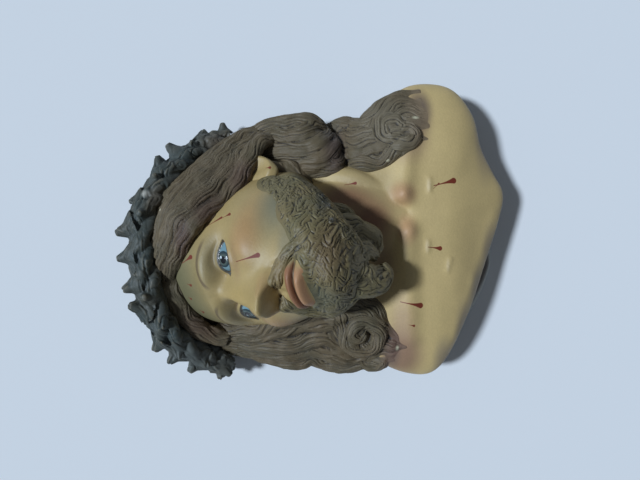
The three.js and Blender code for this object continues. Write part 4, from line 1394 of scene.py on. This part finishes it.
def thorns_tree():
    """Stands short thorns on the crown, by turns outside and in front: a low cone with a point on it."""
    numbers = ["Length", "Foot", "Tip", "Sunk"]
    counts = ["Thorns", "Seed"]
    tree, given, end = new_shape_tree("thorns on the crown", place=["Core"], count=counts, number=numbers)
    curve = add_node(tree, "GeometryNodeMeshToCurve", {"Mesh": given["Geometry"]})["Curve"]
    spaced = add_node(tree, "GeometryNodeResampleCurve", {"Curve": curve, "Count": given["Thorns"]})[0]
    along, out, up = crown_frame(tree, given["Core"])
    number = add_node(tree, "GeometryNodeInputIndex")[0]
    seeds = [calc(tree, "ADD", given["Seed"], extra) for extra in (0.0, 1.0, 2.0)]
    odd = calc(tree, "MODULO", number, 2.0)
    spin = calc(tree, "ADD", odd, chance_between(tree, -0.35, 0.3, number, seeds[0]))
    lean = chance_between(tree, -0.75, 0.75, number, seeds[1])
    size = calc(tree, "MULTIPLY_ADD", odd, -0.2, chance_between(tree, 0.65, 1.2, number, seeds[2]))
    away = scaled(tree, out, calc(tree, "COSINE", spin))
    way = calc3(tree, "ADD", away, scaled(tree, up, calc(tree, "SINE", spin)))
    way = calc3(tree, "NORMALIZE", calc3(tree, "ADD", way, scaled(tree, along, lean)))
    pointed = add_node(tree, "FunctionNodeAlignRotationToVector", {"Vector": way}, axis="Z")[0]
    sunk = scaled(tree, way, given["Sunk"])
    placed = add_node(tree, "GeometryNodeSetPosition", {"Geometry": spaced, "Offset": sunk})[0]
    both = tree.nodes.new("GeometryNodeJoinGeometry")
    for foot, length in ((1.0, 0.62), (0.7, 1.0)):
        cone = {
            "Vertices": 14,
            "Side Segments": 6,
            "Radius Top": times(tree, given["Tip"], 3.0 - 2.0 * length),
            "Radius Bottom": times(tree, given["Foot"], foot),
            "Depth": times(tree, given["Length"], length),
        }
        tree.links.new(add_node(tree, "GeometryNodeMeshCone", cone)[0], both.inputs[0])
    stand = {"Points": placed, "Instance": both.outputs[0], "Rotation": pointed, "Scale": size}
    stood = add_node(tree, "GeometryNodeInstanceOnPoints", stand)[0]
    return finish_tree(tree, stood, given["Material"], end)


crown_shades = [
    ((0.19, 0.14, 0.095), (34, 36, 12), (7, 9, 30), 0.55),
    ((0.15, 0.115, 0.08), (11, 57, 34), (6, 4, 30), 0.5),
    # painted light: the left end lightened where the lamp leaves it in shade
    ((0.13, 0.135, 0.12), (-48, 44, 16), (12, 18, 30), 0.5),
    ((0.035, 0.022, 0.018), (-14, 53, 36), (18, 3, 30), 0.5),
]
plaster_chips = [
    ((0.5, 0.47, 0.4), (-39.5, 65, 28), (1.8, 1.6, 9), 0.9),
    ((0.5, 0.47, 0.4), (-57, 46.5, 14), (1.4, 1.6, 9), 0.9),
    ((0.5, 0.47, 0.4), (13.1, 61.2, 33), (1.6, 1.8, 6), 0.9),
]


def crown_paint():
    """Dark green-grey and brown-black, tan dry-brushed on high places, painted light at its left, and three
    plaster chips.
    """
    material, tree, shader = new_material("crown paint", 0.6)
    place = in_millimetres(tree)
    noise = use_group(tree, grain, Place=place)
    clouds = calc(tree, "MULTIPLY_ADD", noise["Clouds"], 1.1, 0.45)
    paint = painted(tree, (0.042, 0.057, 0.053), (0.086, 0.078, 0.056), clouds)
    groove = calc(tree, "MULTIPLY_ADD", noise["Specks"], 0.5, value_of(tree, "groove"))
    paint = painted(tree, paint, (0.27, 0.22, 0.14), fade(tree, groove, -1.9, -0.2), 0.8)
    paint = painted(tree, paint, (0.017, 0.02, 0.022), fade(tree, groove, 1.5, 0.2), 0.7)
    paint = airbrush(tree, place, paint, crown_shades + plaster_chips)
    link_up(tree, shader, Base_Color=paint)
    return material


def crown_outward(places):
    return unit(places - np.array(crown_core))


def crown_guide(name):
    """The crown's line as a mesh of edges."""
    line = smooth_path(crown_line, 240)
    mesh = bpy.data.meshes.new(name)
    mesh.from_pydata(line.tolist(), [(i, i + 1) for i in range(len(line) - 1)], [])
    return mesh


crown_colours = crown_paint()
twist = {"Stems": 4, "Turns": 3.2, "Half_Depth": 3.0, "Half_Width": 4.4, "Stem": 2.5, "Wander": 1.8}
thorn = {"Thorns": 25, "Length": 6.8, "Foot": 6.2, "Tip": 1.2, "Sunk": 3.2, "Seed": 3}
on_crown = {"Core": crown_core, "Material": crown_colours}
crown_solids = [
    sweep(crown_line, 4.8, 4.6, crown_outward, tip=0.7, root=0.7),
    grown("stems", stems_tree(), crown_guide("crown line"), **twist, **on_crown),
    grown("thorns", thorns_tree(), crown_guide("thorn line"), **thorn, **on_crown),
]
bark_line = [guide(crown_line, 5.0, 5.0, crown_outward, tip=1, root=1, count=240)]
bark_grooves = {"Pitch": 1.15, "Length": 5.0, "Depth": 0.5, "Sway": 2.0, "Sway_Length": 8.0, "Swell": 0.6}
bark = carved_along(bark_line, crown_colours, Seed=2, **bark_grooves)
crown_points, crown_faces = fused(
    "crown", crown_solids, voxel=0.34, triangles=165000, soften=2, lowest=hair_underside, carve=bark
)
set_down("crown", crown_points, crown_faces, crown_colours, groove=worn(crown_points, crown_faces, 8))


# The stage: a white sheet, a soft lamp from beyond the head, a little cool, and the camera straight above.
camera_place = (-0.0043, -0.00097, 0.225)
cool_white = (0.72, 0.845, 1.0)

sheet, _, sheet_shader = new_material("white sheet", 0.9)
sheet_shader["Base Color"].default_value = (0.8, 0.8, 0.8, 1)
floor_mesh = bpy.data.meshes.new("floor")
floor_corners = [(-2, -2, -0.0002), (2, -2, -0.0002), (2, 2, -0.0002), (-2, 2, -0.0002)]
floor_mesh.from_pydata(floor_corners, [], [(0, 1, 2, 3)])
floor_mesh.materials.append(sheet)
floor = put("floor", floor_mesh)

lamp_data = bpy.data.lights.new("lamp", "SUN")
lamp_data.angle = radians(7)
lamp_data.energy = 3.27
lamp_data.color = cool_white
lamp = put("lamp", lamp_data)
lamp.rotation_euler = (radians(-39), 0, 0)

world = bpy.data.worlds.new("room")
world.use_nodes = True
room = world.node_tree.nodes["Background"].inputs
room["Color"].default_value = (*cool_white, 1)
room["Strength"].default_value = 0.135
bpy.context.scene.world = world
bpy.context.scene.view_settings.view_transform = "Standard"

camera_data = bpy.data.cameras.new("camera")
camera_data.lens = 29
camera_data.sensor_width = 36
camera_data.clip_start = 0.01
camera = put("camera", camera_data)
camera.location = camera_place
camera.rotation_euler = (0, 0, radians(-90))
bpy.context.scene.camera = camera
